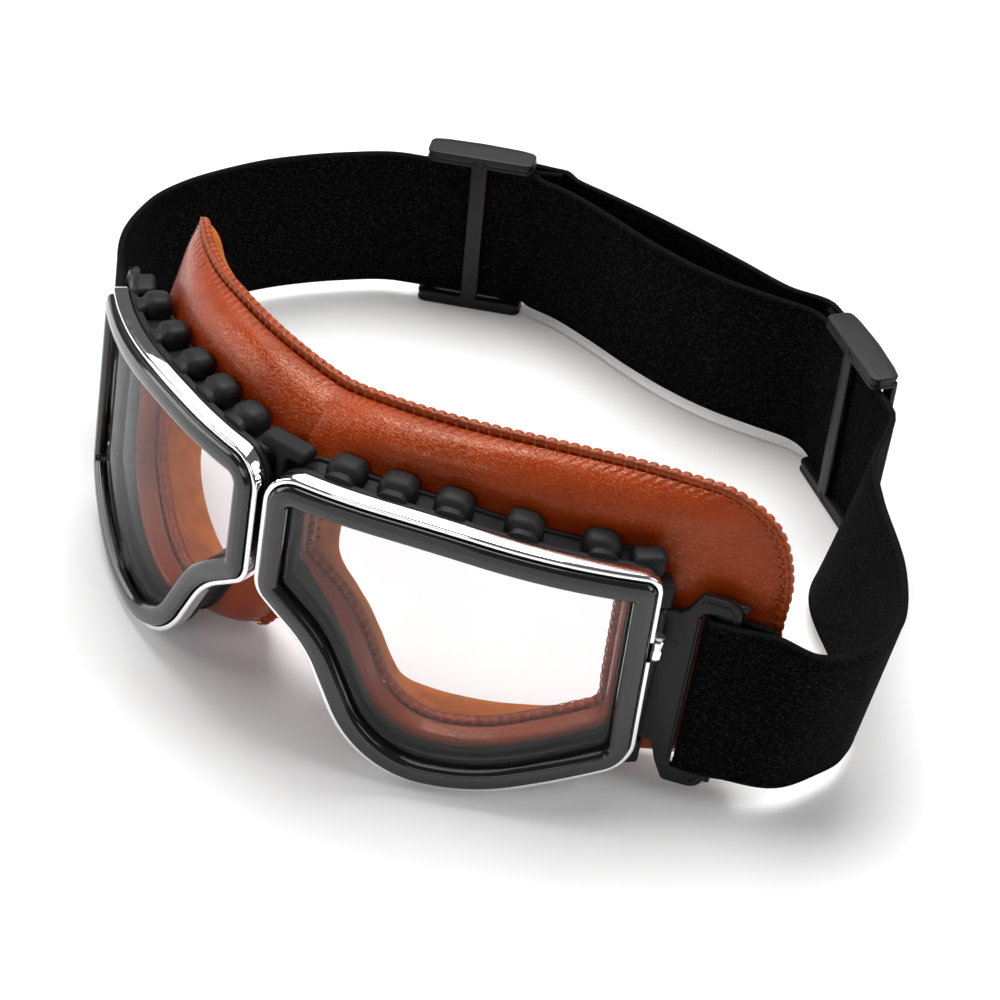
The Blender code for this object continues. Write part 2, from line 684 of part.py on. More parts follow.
def box(name, width, depth, height, round_edge=0.0):
    """A box by its limits in its own frame."""
    shape = bmesh.new()
    bmesh.ops.create_cube(shape, size=1.0)
    for vertex in shape.verts:
        for axis, (low, high) in enumerate((width, depth, height)):
            vertex.co[axis] = high if vertex.co[axis] > 0 else low
    if round_edge > 0:
        bmesh.ops.bevel(shape, geom=shape.edges[:], offset=round_edge, segments=2, profile=0.5, affect="EDGES")
    return add_object(name, shape, None)


def plate_object(name, corners, thickness, material, axis_up=True):
    """A flat outline with cut corners, extruded half its thickness to each side, as a closed mesh."""
    curve = bpy.data.curves.new(name, "CURVE")
    curve.dimensions = "2D"
    curve.fill_mode = "BOTH"
    curve.extrude = thickness / 2
    spline = curve.splines.new("POLY")
    spline.points.add(len(corners) - 1)
    for point, place in zip(spline.points, corners):
        point.co = (place[0], place[1], 0.0, 1.0)
    spline.use_cyclic_u = True
    flat = bpy.data.objects.new(name + "_outline", curve)
    goggles.objects.link(flat)
    bpy.context.view_layer.update()
    graph = bpy.context.evaluated_depsgraph_get()
    mesh = bpy.data.meshes.new_from_object(flat.evaluated_get(graph))
    bpy.data.objects.remove(flat, do_unlink=True)
    shape = bmesh.new()
    shape.from_mesh(mesh)
    bpy.data.meshes.remove(mesh)
    bmesh.ops.remove_doubles(shape, verts=shape.verts, dist=WELD_GAP)
    if axis_up:
        bmesh.ops.rotate(shape, verts=shape.verts, matrix=Matrix.Rotation(math.radians(90), 3, "X"))
    return add_object(name, shape, material)


def rounded_polygon(corners, radius, steps):
    """A closed polygon with every corner rounded alike."""
    places = [Vector(corner) for corner in corners]
    points = []
    for index, place in enumerate(places):
        points.extend(corner_arc(places[index - 1], place, places[(index + 1) % len(places)], radius, steps))
    return points


def bracket_slot_span():
    middle = (BRACKET_LOW + BRACKET_TOP) / 2
    half = STRAP_WIDTH / 2 + 2 * FIT_GAP
    return middle - half, middle + half


def make_bracket(side):
    """A plate with an upright slot for the strap, swinging on a knuckle at its inner edge."""
    name = f"{SIDE_NAMES[side]}_strap_bracket"
    ear = BRACKET_REACH - BRACKET_BAR - BRACKET_SLOT
    low_edge = BRACKET_LOW + BRACKET_SHOULDER
    top_edge = BRACKET_TOP - BRACKET_SHOULDER
    corners = (
        (0.0, KNUCKLE_LOW),
        (BRACKET_EAR_START, KNUCKLE_LOW),
        (BRACKET_EAR_START + BRACKET_EAR_SLOPE, low_edge),
        (ear, BRACKET_LOW),
        (BRACKET_REACH - BRACKET_SHOULDER, BRACKET_LOW),
        (BRACKET_REACH, low_edge),
        (BRACKET_REACH, top_edge),
        (BRACKET_REACH - BRACKET_SHOULDER, BRACKET_TOP),
        (ear, BRACKET_TOP),
        (BRACKET_EAR_START + BRACKET_EAR_SLOPE, top_edge),
        (BRACKET_EAR_START, KNUCKLE_TOP),
        (0.0, KNUCKLE_TOP),
    )
    outline = [(side * point.x, point.y) for point in rounded_polygon(corners, BRACKET_CORNER, 2)]
    plate = plate_object(name, outline, BRACKET_THICKNESS, bracket_plastic)
    stand = lean_matrix(side, PIN_PLACE, PIN_DEPTH) @ Matrix.Rotation(side * BRACKET_ANGLES[side], 4, "Z")
    plate.matrix_world = stand

    knuckle = cylinder(f"cut_{name}_knuckle", KNUCKLE_RADIUS, KNUCKLE_LOW, KNUCKLE_TOP)
    knuckle.matrix_world = stand
    boolean(plate, knuckle, "UNION")
    for label, height in (("low", BRACKET_LOW + BRACKET_KNOB), ("top", BRACKET_TOP - BRACKET_KNOB)):
        knob = box(f"cut_{name}_knob_{label}",
                   sorted((side * (BRACKET_REACH - BRACKET_KNOB), side * (BRACKET_REACH + BRACKET_KNOB / 2))),
                   (BRACKET_THICKNESS / 4, BRACKET_THICKNESS / 2 + BRACKET_KNOB),
                   (height - BRACKET_KNOB / 2, height + BRACKET_KNOB / 2), BRACKET_ROUND)
        knob.matrix_world = stand
        boolean(plate, knob, "UNION")
    slot_low, slot_top = bracket_slot_span()
    slot_end = BRACKET_REACH - BRACKET_BAR
    slot = box(f"cut_{name}_slot", sorted((side * (slot_end - BRACKET_SLOT), side * slot_end)),
               (-CUT_OVERRUN, CUT_OVERRUN), (slot_low, slot_top))
    slot.matrix_world = stand
    boolean(plate, slot, "DIFFERENCE")
    bore = cylinder(f"cut_{name}_bore", PIN_BORE_RADIUS, -CUT_OVERRUN, BRACKET_TOP + CUT_OVERRUN)
    bore.matrix_world = stand
    boolean(plate, bore, "DIFFERENCE")
    return stand


def make_bridge():
    """The rubber bridge: a web between the eyecup walls and a cap over them."""
    front, back = RIM_DEPTH + CUP_FLANGE + 2 * FIT_GAP, CUP_DEPTH - CUP_REAR_FLANGE - FIT_GAP
    half_cap = BRIDGE_CAP_HEIGHT / 2
    pieces = []
    for label, half, low, top in (
        ("nose_bridge", BRIDGE_HALF_WIDTH, BRIDGE_LOW, BRIDGE_TOP),
        ("cut_bridge_cap", BRIDGE_CAP_HALF_WIDTH, BRIDGE_TOP - half_cap, BRIDGE_TOP + half_cap),
    ):
        block = bmesh.new()
        bmesh.ops.create_cube(block, size=1.0)
        for vertex in block.verts:
            vertex.co.x = math.copysign(half, vertex.co.x)
            vertex.co.y = back if vertex.co.y > 0 else front
            vertex.co.z = top if vertex.co.z > 0 else low
        bmesh.ops.bevel(block, geom=block.edges[:], offset=BRIDGE_ROUND, segments=2, profile=0.5,
                        affect="EDGES")
        for vertex in block.verts:
            vertex.co.y += LEAN_SHARE * vertex.co.z
        pieces.append(add_object(label, block, rubber if label == "nose_bridge" else None))
    boolean(pieces[0], pieces[1], "UNION")


def pad_curve(side):
    """Plan of the cushion's outer seam on one side, as arcs of length and turn, starting at the nose."""
    if side == RIGHT:
        return (PAD_NOSE_ARC, PAD_NOSE_TURN), (PAD_RIGHT_ARC, PAD_RIGHT_TURN)
    return (PAD_NOSE_ARC, PAD_NOSE_TURN), (PAD_LEFT_ARC, PAD_LEFT_TURN)


def on_pad(side, along, height, back):
    """A point of the outer seam's surface, moved back from it towards the face."""
    x, y, heading = 0.0, PAD_NOSE_DEPTH, 0.0
    ahead = along if side == RIGHT else along * LEFT_LENGTH_SHARE
    (first, first_turn), (second, second_turn) = pad_curve(side)
    parts = ((min(ahead, first), first_turn / first), (max(ahead - first, 0.0), second_turn / second))
    for length, turn in parts:
        end = heading + turn * length
        x += (math.sin(end) - math.sin(heading)) / turn
        y += (math.cos(heading) - math.cos(end)) / turn
        heading = end
    x -= back * math.sin(heading)
    y += back * math.cos(heading)
    return Vector((side * x, y + LEAN_SHARE * height, height))


TOP_STEPS, END_STEPS, LOW_STEPS, SLOPE_STEPS = 9, 5, 8, 6
FIRST_NOSE = TOP_STEPS + END_STEPS + LOW_STEPS + SLOPE_STEPS


def at_share(points, share):
    """The point at a share of a line's length."""
    lengths = [(two - one).length for one, two in zip(points, points[1:])]
    left_over = share * sum(lengths)
    for index, length in enumerate(lengths):
        if left_over <= length:
            return points[index].lerp(points[index + 1], left_over / length)
        left_over -= length
    return points[-1].copy()


def eye_stations(inset):
    """Stations round the eye opening, starting at the nose side's top corner."""
    runs = frame_outline(inset)
    middles = []
    flat = []
    for run, corner in zip(runs, FRAME_CORNERS):
        middles.append(len(flat) + corner[3] // 2)
        flat.extend(run)
    marks = [middles[corner] for corner in (NOSE_TOP, TEMPLE_TOP, TEMPLE_LOW, CHIN, NOSE_LOW)]
    even = [[step / steps for step in range(steps)] for steps in (TOP_STEPS, END_STEPS, LOW_STEPS, SLOPE_STEPS)]
    stations = []
    for number, shares in enumerate(even + [NOSE_EYE_SHARES]):
        first = marks[number]
        last = marks[(number + 1) % len(marks)]
        part = flat[first:last + 1] if last > first else flat[first:] + flat[:last + 1]
        stations.extend(at_share(part, share) for share in shares)
    return stations


def hem_stations():
    """Stations along the outer seam, from the middle of the brow round to the top of the nose arch."""
    end_top = Vector((PAD_END_PLACE, PAD_END_TOP))
    end_low = Vector((PAD_END_PLACE, PAD_END_LOW))
    brow = Vector((PAD_BROW_PLACE, PAD_TOP))
    cheek = Vector((FRAME_WIDTH * CHEEK_SHARE, PAD_BOTTOM))
    lobe = Vector((PAD_LOBE_PLACE, PAD_BOTTOM))
    arch = Vector((PAD_ARCH_PLACE, PAD_ARCH_HEIGHT))
    top_arc = corner_arc(brow, end_top, end_low, PAD_END_TOP_RADIUS, BEND_STEPS)
    low_arc = corner_arc(end_top, end_low, cheek, PAD_END_LOW_RADIUS, BEND_STEPS)
    lobe_arc = corner_arc(cheek, lobe, arch, PAD_LOBE_RADIUS, BEND_STEPS)
    summit = Vector((0.0, PAD_ARCH_TOP))
    arch_arc = corner_arc(lobe, arch, summit, PAD_ARCH_RADIUS, TIGHT_BEND_STEPS)
    start = Vector((0.0, PAD_TOP_MIDDLE))
    halfway = start.lerp(brow, 0.5) + Vector((0.0, PAD_BROW_RISE))
    half = BEND_STEPS // 2
    parts = (
        ([start, halfway, brow] + top_arc[:half + 1], TOP_STEPS),
        (top_arc[half:] + low_arc[:half + 1], END_STEPS),
        (low_arc[half:] + [cheek] + lobe_arc[:half + 1], LOW_STEPS),
        (lobe_arc[half:] + arch_arc + [summit], SLOPE_STEPS),
    )
    stations = []
    for points, steps in parts:
        stations.extend(at_share(points, step / steps) for step in range(steps))
    stations.append(summit)
    return stations


def crown_share(station):
    """How far the cushion's outer flank bulges: most along the brow, least at the temple ends."""
    ends = TOP_STEPS, TOP_STEPS + END_STEPS, TOP_STEPS + END_STEPS + LOW_STEPS
    if station <= ends[0]:
        share = station / ends[0]
        return 1 + (END_CROWN_SHARE - 1) * share ** 2
    if station <= ends[1]:
        share = (station - ends[0]) / END_STEPS
        return END_CROWN_SHARE + (LOW_CROWN_SHARE - END_CROWN_SHARE) * share ** 2
    return LOW_CROWN_SHARE


def middle_place(number, brow):
    """A point of the outer surface in the middle plane, counted up from the top of the nose arch."""
    free = len(NOSE_FORWARD_SHARES)
    if number >= free:
        meeting = brow[number - free]
        return Vector((0.0, meeting.y, meeting.z))
    height = PAD_ARCH_TOP + (PAD_TOP_MIDDLE - PAD_ARCH_TOP) * NOSE_HEIGHT_SHARES[number]
    depth = PAD_NOSE_DEPTH - PAD_NOSE_CROWN * NOSE_FORWARD_SHARES[number]
    return Vector((0.0, depth + LEAN_SHARE * height, height))


def nose_lines(number, flange, eye_rear, brow):
    """Outer flank and rear line of one station beside the nose; both end in the middle plane."""
    end = middle_place(number, brow)
    way = [flange, end]
    if number == len(NOSE_HEIGHT_SHARES) - 1:
        way.insert(1, Vector((brow[1].x / 2, brow[1].y, brow[1].z)))
    flank = [at_share(way, share) for share in FLANK_SHARES] + [end]
    height = PAD_ARCH_TOP + (PAD_TOP_MIDDLE - PAD_ARCH_TOP) * NOSE_HEIGHT_SHARES[number]
    swell = PAD_BACK_CROWN * math.sin(math.pi * NOSE_HEIGHT_SHARES[number]) ** NOSE_SWELL_POWER
    rear_end = Vector((0.0, PAD_NOSE_DEPTH + HEM_THICKNESS + swell + LEAN_SHARE * height, height))
    nearness = NOSE_HEIGHT_SHARES[number] ** BROW_SWELL_POWER
    rear = []
    for share, brow_swell in zip(REAR_SHARES, REAR_SWELLS):
        nose_lift = NOSE_REAR_LIFT * math.sin(math.pi * share)
        lift = nose_lift + (PAD_BACK_CROWN * brow_swell - nose_lift) * nearness
        rear.append(eye_rear.lerp(rear_end, share) + Vector((0.0, lift, 0.0)))
    return flank, rear


def cushion_lines(side):
    """For each station round the eye, the front line and the rear line from the eye seam to the outer seam."""
    eye = eye_stations(EYE_HEM_INSETS)
    tip_in = eye_stations(tuple(inset - COLLAR_TIP_SET_BACK for inset in EYE_HEM_INSETS))
    tip_out = eye_stations(COLLAR_TIP_INSET)
    base = eye_stations(COLLAR_INSET)
    seat = eye_stations(PAD_SEAT_INSET)
    hems = hem_stations()
    lines = []
    brow = []
    for station, place in enumerate(eye):
        eye_front = on_face(side, place.x, EYE_HEM_DEPTH, place.y)
        eye_rear = on_face(side, place.x, EYE_HEM_DEPTH + HEM_THICKNESS, place.y)
        collar = [on_face(side, line[station].x, depth, line[station].y)
                  for line, depth in ((tip_in, COLLAR_FRONT), (tip_out, COLLAR_FRONT), (base, PAD_SEAT_DEPTH),
                                      (seat, PAD_SEAT_DEPTH))]
        flange = collar[-1]
        if station < len(hems):
            hem = hems[station]
            out_front = on_pad(side, hem.x, hem.y, 0.0)
            out_rear = on_pad(side, hem.x, hem.y, HEM_THICKNESS)
            reach = out_front - flange
            forward = on_face(side, seat[station].x, 0.0, seat[station].y) - flange
            away = forward.normalized() + (flange - eye_front).normalized()
            bulge = away - reach * away.dot(reach) / reach.length_squared
            bulge = bulge.normalized() * PAD_CROWN * crown_share(station)
            high, low = (flange.lerp(out_front, share) for share in FLANK_SHARES)
            flank = [high + bulge, low + bulge * LOW_FLANK_SHARE, out_front]
            backward = on_pad(side, hem.x, hem.y, HEM_THICKNESS + PAD_BACK_CROWN) - out_rear
            rear = [eye_rear.lerp(out_rear, share) + backward * swell
                    for share, swell in zip(REAR_SHARES, REAR_SWELLS)]
            if station == 0:
                brow = [flange] + flank[:2]
        else:
            flank, rear = nose_lines(station - FIRST_NOSE, flange, eye_rear, brow)
        lines.append(([eye_front] + collar + flank, rear))
    return lines


def nearest_on(line, point):
    """The place on a line of points that is nearest to a point."""
    places = []
    for one, two in zip(line, line[1:]):
        share = (point - one).dot(two - one) / (two - one).length_squared
        places.append(one.lerp(two, min(max(share, 0.0), 1.0)))
    return min(places, key=lambda place: (place - point).length)


def moved_in(line, other, distance, most_share):
    """A line of points, each moved by the distance towards the other line, up to a share of the way, so that two
    lines moved towards each other never cross. A line that ends in the middle plane keeps to its partners."""
    moved = []
    for point, partner in zip(line, other):
        way = (partner if line[-1].x == 0 else nearest_on(other, point)) - point
        moved.append(point + way * min(distance / way.length, most_share))
    return moved


def cushion_layer(name, section_of, material):
    """One layer of the cushion on both sides of the nose, welded in the middle plane."""
    shape = bmesh.new()
    for side in (RIGHT, LEFT):
        rows = []
        for station, (front, rear) in enumerate(cushion_lines(side)):
            on_plane = station >= FIRST_NOSE or station == 0
            row = []
            for point, ends_outside in section_of(front, rear):
                if on_plane and ends_outside:
                    point = Vector((0.0, point.y, point.z))
                row.append((shape.verts.new(point), on_plane and ends_outside))
            rows.append(row)
        for one, two in zip(rows, rows[1:] + rows[:1]):
            for index in range(len(one)):
                following = (index + 1) % len(one)
                corners = (one[index], one[following], two[following], two[index])
                if all(flat for _, flat in corners):
                    continue
                shape.faces.new([vertex for vertex, _ in corners])
    middle = [vertex for vertex in shape.verts if abs(vertex.co.x) < MIDDLE_GAP]
    bmesh.ops.remove_doubles(shape, verts=middle, dist=MIDDLE_GAP)
    add_object(name, shape, material)


def facing_lines(front, rear):
    """The front line without its collar, and the rear line, with partners at equal places."""
    return [front[0], front[0].lerp(front[4], 0.5)] + front[4:], rear


def leather_section(front, rear):
    """The leather: a solid collar inside the eyecup, then a skin out to the outer seam."""
    skin = moved_in(*facing_lines(front, rear), SKIN_THICKNESS, MOST_SKIN_SHARE)
    del skin[1]
    last = len(front) - 1
    outer = [(point, index == last) for index, point in enumerate(front)]
    inner = [(point, index == 0) for index, point in enumerate(reversed(skin))]
    return outer + inner


def suede_section(front, rear):
    ahead, behind = facing_lines(front, rear)
    skin = moved_in(behind, ahead, SKIN_THICKNESS, MOST_SKIN_SHARE)
    last = len(rear) - 1
    return [(point, index == last) for index, point in enumerate(skin)] + [
        (rear[index], index == last) for index in range(last, -1, -1)]


def foam_section(front, rear):
    """The foam between the two skins, clear of both and of the seams, with a seam at the arch's top too."""
    ahead, behind = facing_lines(front, rear)
    in_middle = ahead[-1].x == 0 and ahead[-1].z > PAD_ARCH_TOP + FOAM_GAP
    cover = SKIN_THICKNESS + FOAM_GAP
    lines = []
    for line, other in ((ahead, behind), (behind, ahead)):
        line = moved_in(line, other, cover, MOST_COVER_SHARE)
        if not in_middle:
            seam = line[-3].lerp(line[-2], SEAM_MARGIN_SHARE)
        elif ahead[-1].z < PAD_TOP_MIDDLE - FOAM_GAP:
            seam = line[-1]
        else:
            seam = line[-2].lerp(line[-1], BROW_MARGIN_SHARE)
        lines.append([line[1].lerp(line[2], EYE_MARGIN_SHARE)] + line[2:-2] + [seam])
    last = len(lines[0]) - 1
    return [(point, in_middle and index == last) for index, point in enumerate(lines[0])] + [
        (point, in_middle and index == 0) for index, point in enumerate(reversed(lines[1]))]


def lacing(name, path, across):
    """A closed cord of even thickness. Each place has its own direction across the seam."""
    shape = bmesh.new()
    rows = []
    count = len(path)
    for index, (centre, side_way) in enumerate(zip(path, across)):
        tangent = (path[(index + 1) % count] - path[index - 1]).normalized()
        outward = tangent.cross(side_way).normalized()
        other = tangent.cross(outward).normalized()
        rows.append([centre + LACING_RADIUS * (outward * math.cos(angle) + other * math.sin(angle))
                     for angle in (math.tau * step / LACING_SIDES for step in range(LACING_SIDES))])
    skin_rows(shape, rows, True)
    add_object(name, shape, thread)


def make_lacings():
    """The whip-stitched edges: one round the outside of the whole cushion, one round each eye opening."""
    stand_off = 2 * FIT_GAP + LACING_RADIUS
    outer = {}
    for side in (RIGHT, LEFT):
        lines = cushion_lines(side)
        eye_path, eye_across = [], []
        for front, rear in lines:
            across = (rear[0] - front[0]).normalized()
            inner = (front[0] - front[3])
            inner = (inner - across * inner.dot(across)).normalized()
            eye_path.append(front[0].lerp(rear[0], 0.5) + inner * stand_off)
            eye_across.append(across)
        lacing(f"{SIDE_NAMES[side]}_eye_lacing", eye_path, eye_across)
        hems = [(front[-1], rear[-1]) for front, rear in lines[:FIRST_NOSE + 1]]
        places = []
        for index, (front, rear) in enumerate(hems):
            across = (rear - front).normalized()
            one = hems[index - 1][0] if index > 0 else Vector((-hems[1][0].x, hems[1][0].y, hems[1][0].z))
            if index < FIRST_NOSE:
                two = hems[index + 1][0]
            else:
                two = Vector((-hems[index - 1][0].x, hems[index - 1][0].y, hems[index - 1][0].z))
            outward = (two - one).cross(across).normalized() * side
            places.append((front.lerp(rear, 0.5) + outward * stand_off, across))
        outer[side] = places
    loop = outer[RIGHT] + list(reversed(outer[LEFT][1:-1]))
    for index in (0, FIRST_NOSE):
        loop[index][0].x = 0.0
    lacing("outer_edge_lacing", [place for place, _ in loop], [across for _, across in loop])


def ribbon(name, stations, material):
    """A strap from its lower and upper edge lines, standing on edge."""
    rows = []
    last = len(stations) - 1
    for index, (low, top) in enumerate(stations):
        one = stations[max(index - 1, 0)]
        two = stations[min(index + 1, last)]
        tangent = (two[0] + two[1] - one[0] - one[1]).normalized()
        half = tangent.cross(top - low).normalized() * (STRAP_THICKNESS / 2)
        rows.append([low - half, low + half, top + half, top - half])
    shape = bmesh.new()
    skin_rows(shape, rows, False)
    return add_object(name, shape, material)


def end_loop(name, stand, bar, bar_thickness, line, middle):
    """A strap end folded round an upright bar and sewn together. The bar is given by its near and far edge."""
    near, far = bar
    way = math.copysign(1, far - near)
    offset = bar_thickness / 2 + FIT_GAP + STRAP_THICKNESS / 2
    closed_offset = STRAP_THICKNESS / 2 + FIT_GAP
    end = far + way * LOOP_LEG
    half_turn = [(near - way * offset * math.sin(angle), offset * math.cos(angle))
                 for angle in (math.pi * step / LOOP_TURN_STEPS for step in range(LOOP_TURN_STEPS + 1))]
    sewn = far + way * LOOP_LEG / 2
    outer = [(end, closed_offset), (sewn, closed_offset + LEG_BOW), (far, offset)]
    path = outer + half_turn + [(x, -y) for x, y in reversed(outer)]
    low, top = middle - STRAP_WIDTH / 2, middle + STRAP_WIDTH / 2
    stations = [(Vector((x, line + y, low)), Vector((x, line + y, top))) for x, y in path]
    ribbon(name, stations, elastic).matrix_world = stand
    return end + way * JOIN_GAP


def slider_frame(side):
    (across, back), turn = SLIDER_PLACES[side]
    return Matrix.Translation((across * LOOP_HALF_WIDTH, back * LOOP_DEPTH, 0.0)) @ Matrix.Rotation(turn, 4, "Z")


# Across a slider, from the inside outwards: centre bar, strap, sewn band end, side bars.
STRAP_LINE = -(STRAP_THICKNESS + FIT_GAP) / 2
BAND_LEG_LINE = (STRAP_THICKNESS + FIT_GAP) / 2
BAR_LINE = BAND_LEG_LINE + STRAP_THICKNESS / 2 + FIT_GAP + SLIDER_BAR / 2
CENTRE_BAR_LINE = STRAP_LINE - STRAP_THICKNESS / 2 - FIT_GAP - SLIDER_BAR / 2
STRAP_MIDDLE = STRAP_LIFT + STRAP_WIDTH / 2


def make_slider(side):
    """A moulded frame: two bowed rails, two side bars at the back and a centre bar in front of the strap."""
    name = f"{SIDE_NAMES[side]}_slider"
    half = SLIDER_LENGTH / 2
    inside = CENTRE_BAR_LINE - SLIDER_BAR / 2
    outside = BAR_LINE + SLIDER_BAR / 2
    shoulder = half - SLIDER_SIDE_BAR
    corners = ((-half, inside), (half, inside), (half, outside), (shoulder, outside + SLIDER_BOW / 2),
               (0.0, outside + SLIDER_BOW), (-shoulder, outside + SLIDER_BOW / 2), (-half, outside))
    outline = [(point.x, point.y) for point in rounded_polygon(corners, SLIDER_CORNER, TIGHT_BEND_STEPS)]
    low_rail = (0.0, STRAP_LIFT - SLIDER_PLAY)
    top_rail = (STRAP_LIFT + STRAP_WIDTH + SLIDER_PLAY, STRAP_LIFT + STRAP_WIDTH + SLIDER_PLAY + SLIDER_RAIL)
    frame = plate_object(name, outline, low_rail[1] - low_rail[0], bracket_plastic, False)
    stand = slider_frame(side)
    frame.matrix_world = stand @ Matrix.Translation((0, 0, (low_rail[0] + low_rail[1]) / 2))
    top = plate_object(f"cut_{name}_rail", outline, top_rail[1] - top_rail[0], None, False)
    top.matrix_world = stand @ Matrix.Translation((0, 0, (top_rail[0] + top_rail[1]) / 2))
    boolean(frame, top, "UNION")
    upright = (low_rail[1] - SLIDER_RAIL / 2, top_rail[0] + SLIDER_RAIL / 2)
    bars = (
        ("centre", (-SLIDER_CENTRE_BAR / 2, SLIDER_CENTRE_BAR / 2), CENTRE_BAR_LINE),
        ("near", (-half, -half + SLIDER_SIDE_BAR), BAR_LINE),
        ("far", (half - SLIDER_SIDE_BAR, half), BAR_LINE),
    )
    for label, width, line in bars:
        bar = box(f"cut_{name}_{label}_bar", width, (line - SLIDER_BAR / 2, line + SLIDER_BAR / 2), upright,
                  BRACKET_ROUND)
        bar.matrix_world = stand
        boolean(frame, bar, "UNION")


def route_places(shares):
    """Lower and upper edge points of a strap at each waypoint."""
    places = []
    for across, back, rise, sideways, backward in shares:
        low = STRAP_LIFT + STRAP_FRONT_RISE * rise
        top_x = across * LOOP_HALF_WIDTH
        top_y = back * LOOP_DEPTH
        places.append((Vector((top_x + sideways * STRAP_WIDTH, top_y + backward * STRAP_WIDTH, low)),
                       Vector((top_x, top_y, low + STRAP_WIDTH))))
    return places


def upright_pair(place):
    return (Vector((place.x, place.y, STRAP_LIFT)), Vector((place.x, place.y, STRAP_LIFT + STRAP_WIDTH)))


def smooth_run(start, start_way, places, end, end_way):
    """Stations on a smooth line through all places, leaving and arriving in the given plan directions."""
    full = [start] + places + [end]
    tangents = []
    for index in range(len(full)):
        if index == 0:
            chord = (full[1][1] - full[0][1]).length
            tangents.append((start_way * chord, start_way * chord))
        elif index == len(full) - 1:
            chord = (full[-1][1] - full[-2][1]).length
            tangents.append((end_way * chord, end_way * chord))
        else:
            tangents.append(tuple((full[index + 1][edge] - full[index - 1][edge]) / 2 for edge in (0, 1)))
    stations = [start]
    for index in range(len(full) - 1):
        for step in range(1, ROUTE_STEPS + 1):
            share = step / ROUTE_STEPS
            pair = []
            for edge in (0, 1):
                one, two = full[index][edge], full[index + 1][edge]
                leave, arrive = tangents[index][edge], tangents[index + 1][edge]
                blend = 3 * share ** 2 - 2 * share ** 3
                pair.append(one.lerp(two, blend) + leave * (share ** 3 - 2 * share ** 2 + share)
                            + arrive * (share ** 3 - share ** 2))
            stations.append(tuple(pair))
    return stations


def make_straps():
    """The bracket ends, the strap through both sliders, and the band with its two sewn ends."""
    bar = (BRACKET_REACH - BRACKET_BAR, BRACKET_REACH)
    middle = (BRACKET_LOW + BRACKET_TOP) / 2
    starts = {}
    for side in (RIGHT, LEFT):
        stand = stands[side]
        span = (side * bar[0], side * bar[1])
        end = end_loop(f"{SIDE_NAMES[side]}_strap_end", stand, span, BRACKET_THICKNESS, 0.0, middle)
        edges = [stand @ Vector((end, 0.0, middle + share * STRAP_WIDTH)) for share in (-0.5, 0.5)]
        way = stand.to_3x3() @ Vector((side, 0.0, 0.0))
        starts[side] = (tuple(edges), Vector((way.x, way.y, 0.0)).normalized())

    reach = SLIDER_LENGTH / 2
    lines = {}
    for side in (RIGHT, LEFT):
        stand = slider_frame(side)
        near = upright_pair(stand @ Vector((side * (reach + SLIDER_TRAVEL), STRAP_LINE, 0.0)))
        far = upright_pair(stand @ Vector((-side * reach, STRAP_LINE, 0.0)))
        way = (far[0] - near[0]).normalized()
        lines[side] = (near, far, way)
    right_near, right_far, right_way = lines[RIGHT]
    left_near, left_far, left_way = lines[LEFT]
    stations = smooth_run(*starts[RIGHT], route_places(RIGHT_ROUTE_SHARES), right_near, right_way)
    stations += smooth_run(right_far, right_way, route_places(REAR_ROUTE_SHARES), left_far, -left_way)
    left_start, left_start_way = starts[LEFT]
    stations += smooth_run(left_near, -left_way, route_places(LEFT_ROUTE_SHARES), left_start, -left_start_way)
    ribbon("head_strap", stations, elastic)

    ends = {}
    for side in (RIGHT, LEFT):
        stand = slider_frame(side)
        span = (-side * (reach - SLIDER_SIDE_BAR), -side * reach)
        end = end_loop(f"{SIDE_NAMES[side]}_band_end", stand, span, SLIDER_BAR, BAR_LINE, STRAP_MIDDLE)
        ends[side] = upright_pair(stand @ Vector((end, BAR_LINE, 0.0)))
    stations = smooth_run(ends[RIGHT], right_way, route_places(BAND_ROUTE_SHARES), ends[LEFT], -left_way)
    ribbon("rear_band", stations, elastic)


def centre_on_origin():
    """Moves the whole part so that its origin lies under the middle of its bounding box."""
    bpy.context.view_layer.update()
    graph = bpy.context.evaluated_depsgraph_get()
    places = []
    for piece in goggles.objects:
        if piece.type == "MESH":
            finished = piece.evaluated_get(graph)
            places.extend(finished.matrix_world @ vertex.co for vertex in finished.data.vertices)
    for axis in (0, 1):
        values = [place[axis] for place in places]
        root.location[axis] = -(min(values) + max(values)) / 2


stands = {}
for face_side in (RIGHT, LEFT):
    make_rim(face_side)
    make_bezel(face_side)
    make_lens(face_side)
    make_eyecup(face_side)
    make_clasp(face_side)
    make_pin(face_side)
    stands[face_side] = make_bracket(face_side)
    make_slider(face_side)
make_bridge()
cushion_layer("leather_cover", leather_section, leather)
cushion_layer("suede_lining", suede_section, suede)
cushion_layer("pad_foam", foam_section, foam)
make_lacings()
make_straps()
centre_on_origin()
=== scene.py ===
"""Riding goggles on a pale floor: bright rims, clear lenses, a laced leather cushion and an elastic strap."""
import math
from collections import namedtuple

import bmesh
import bpy
from mathutils import Matrix, Vector


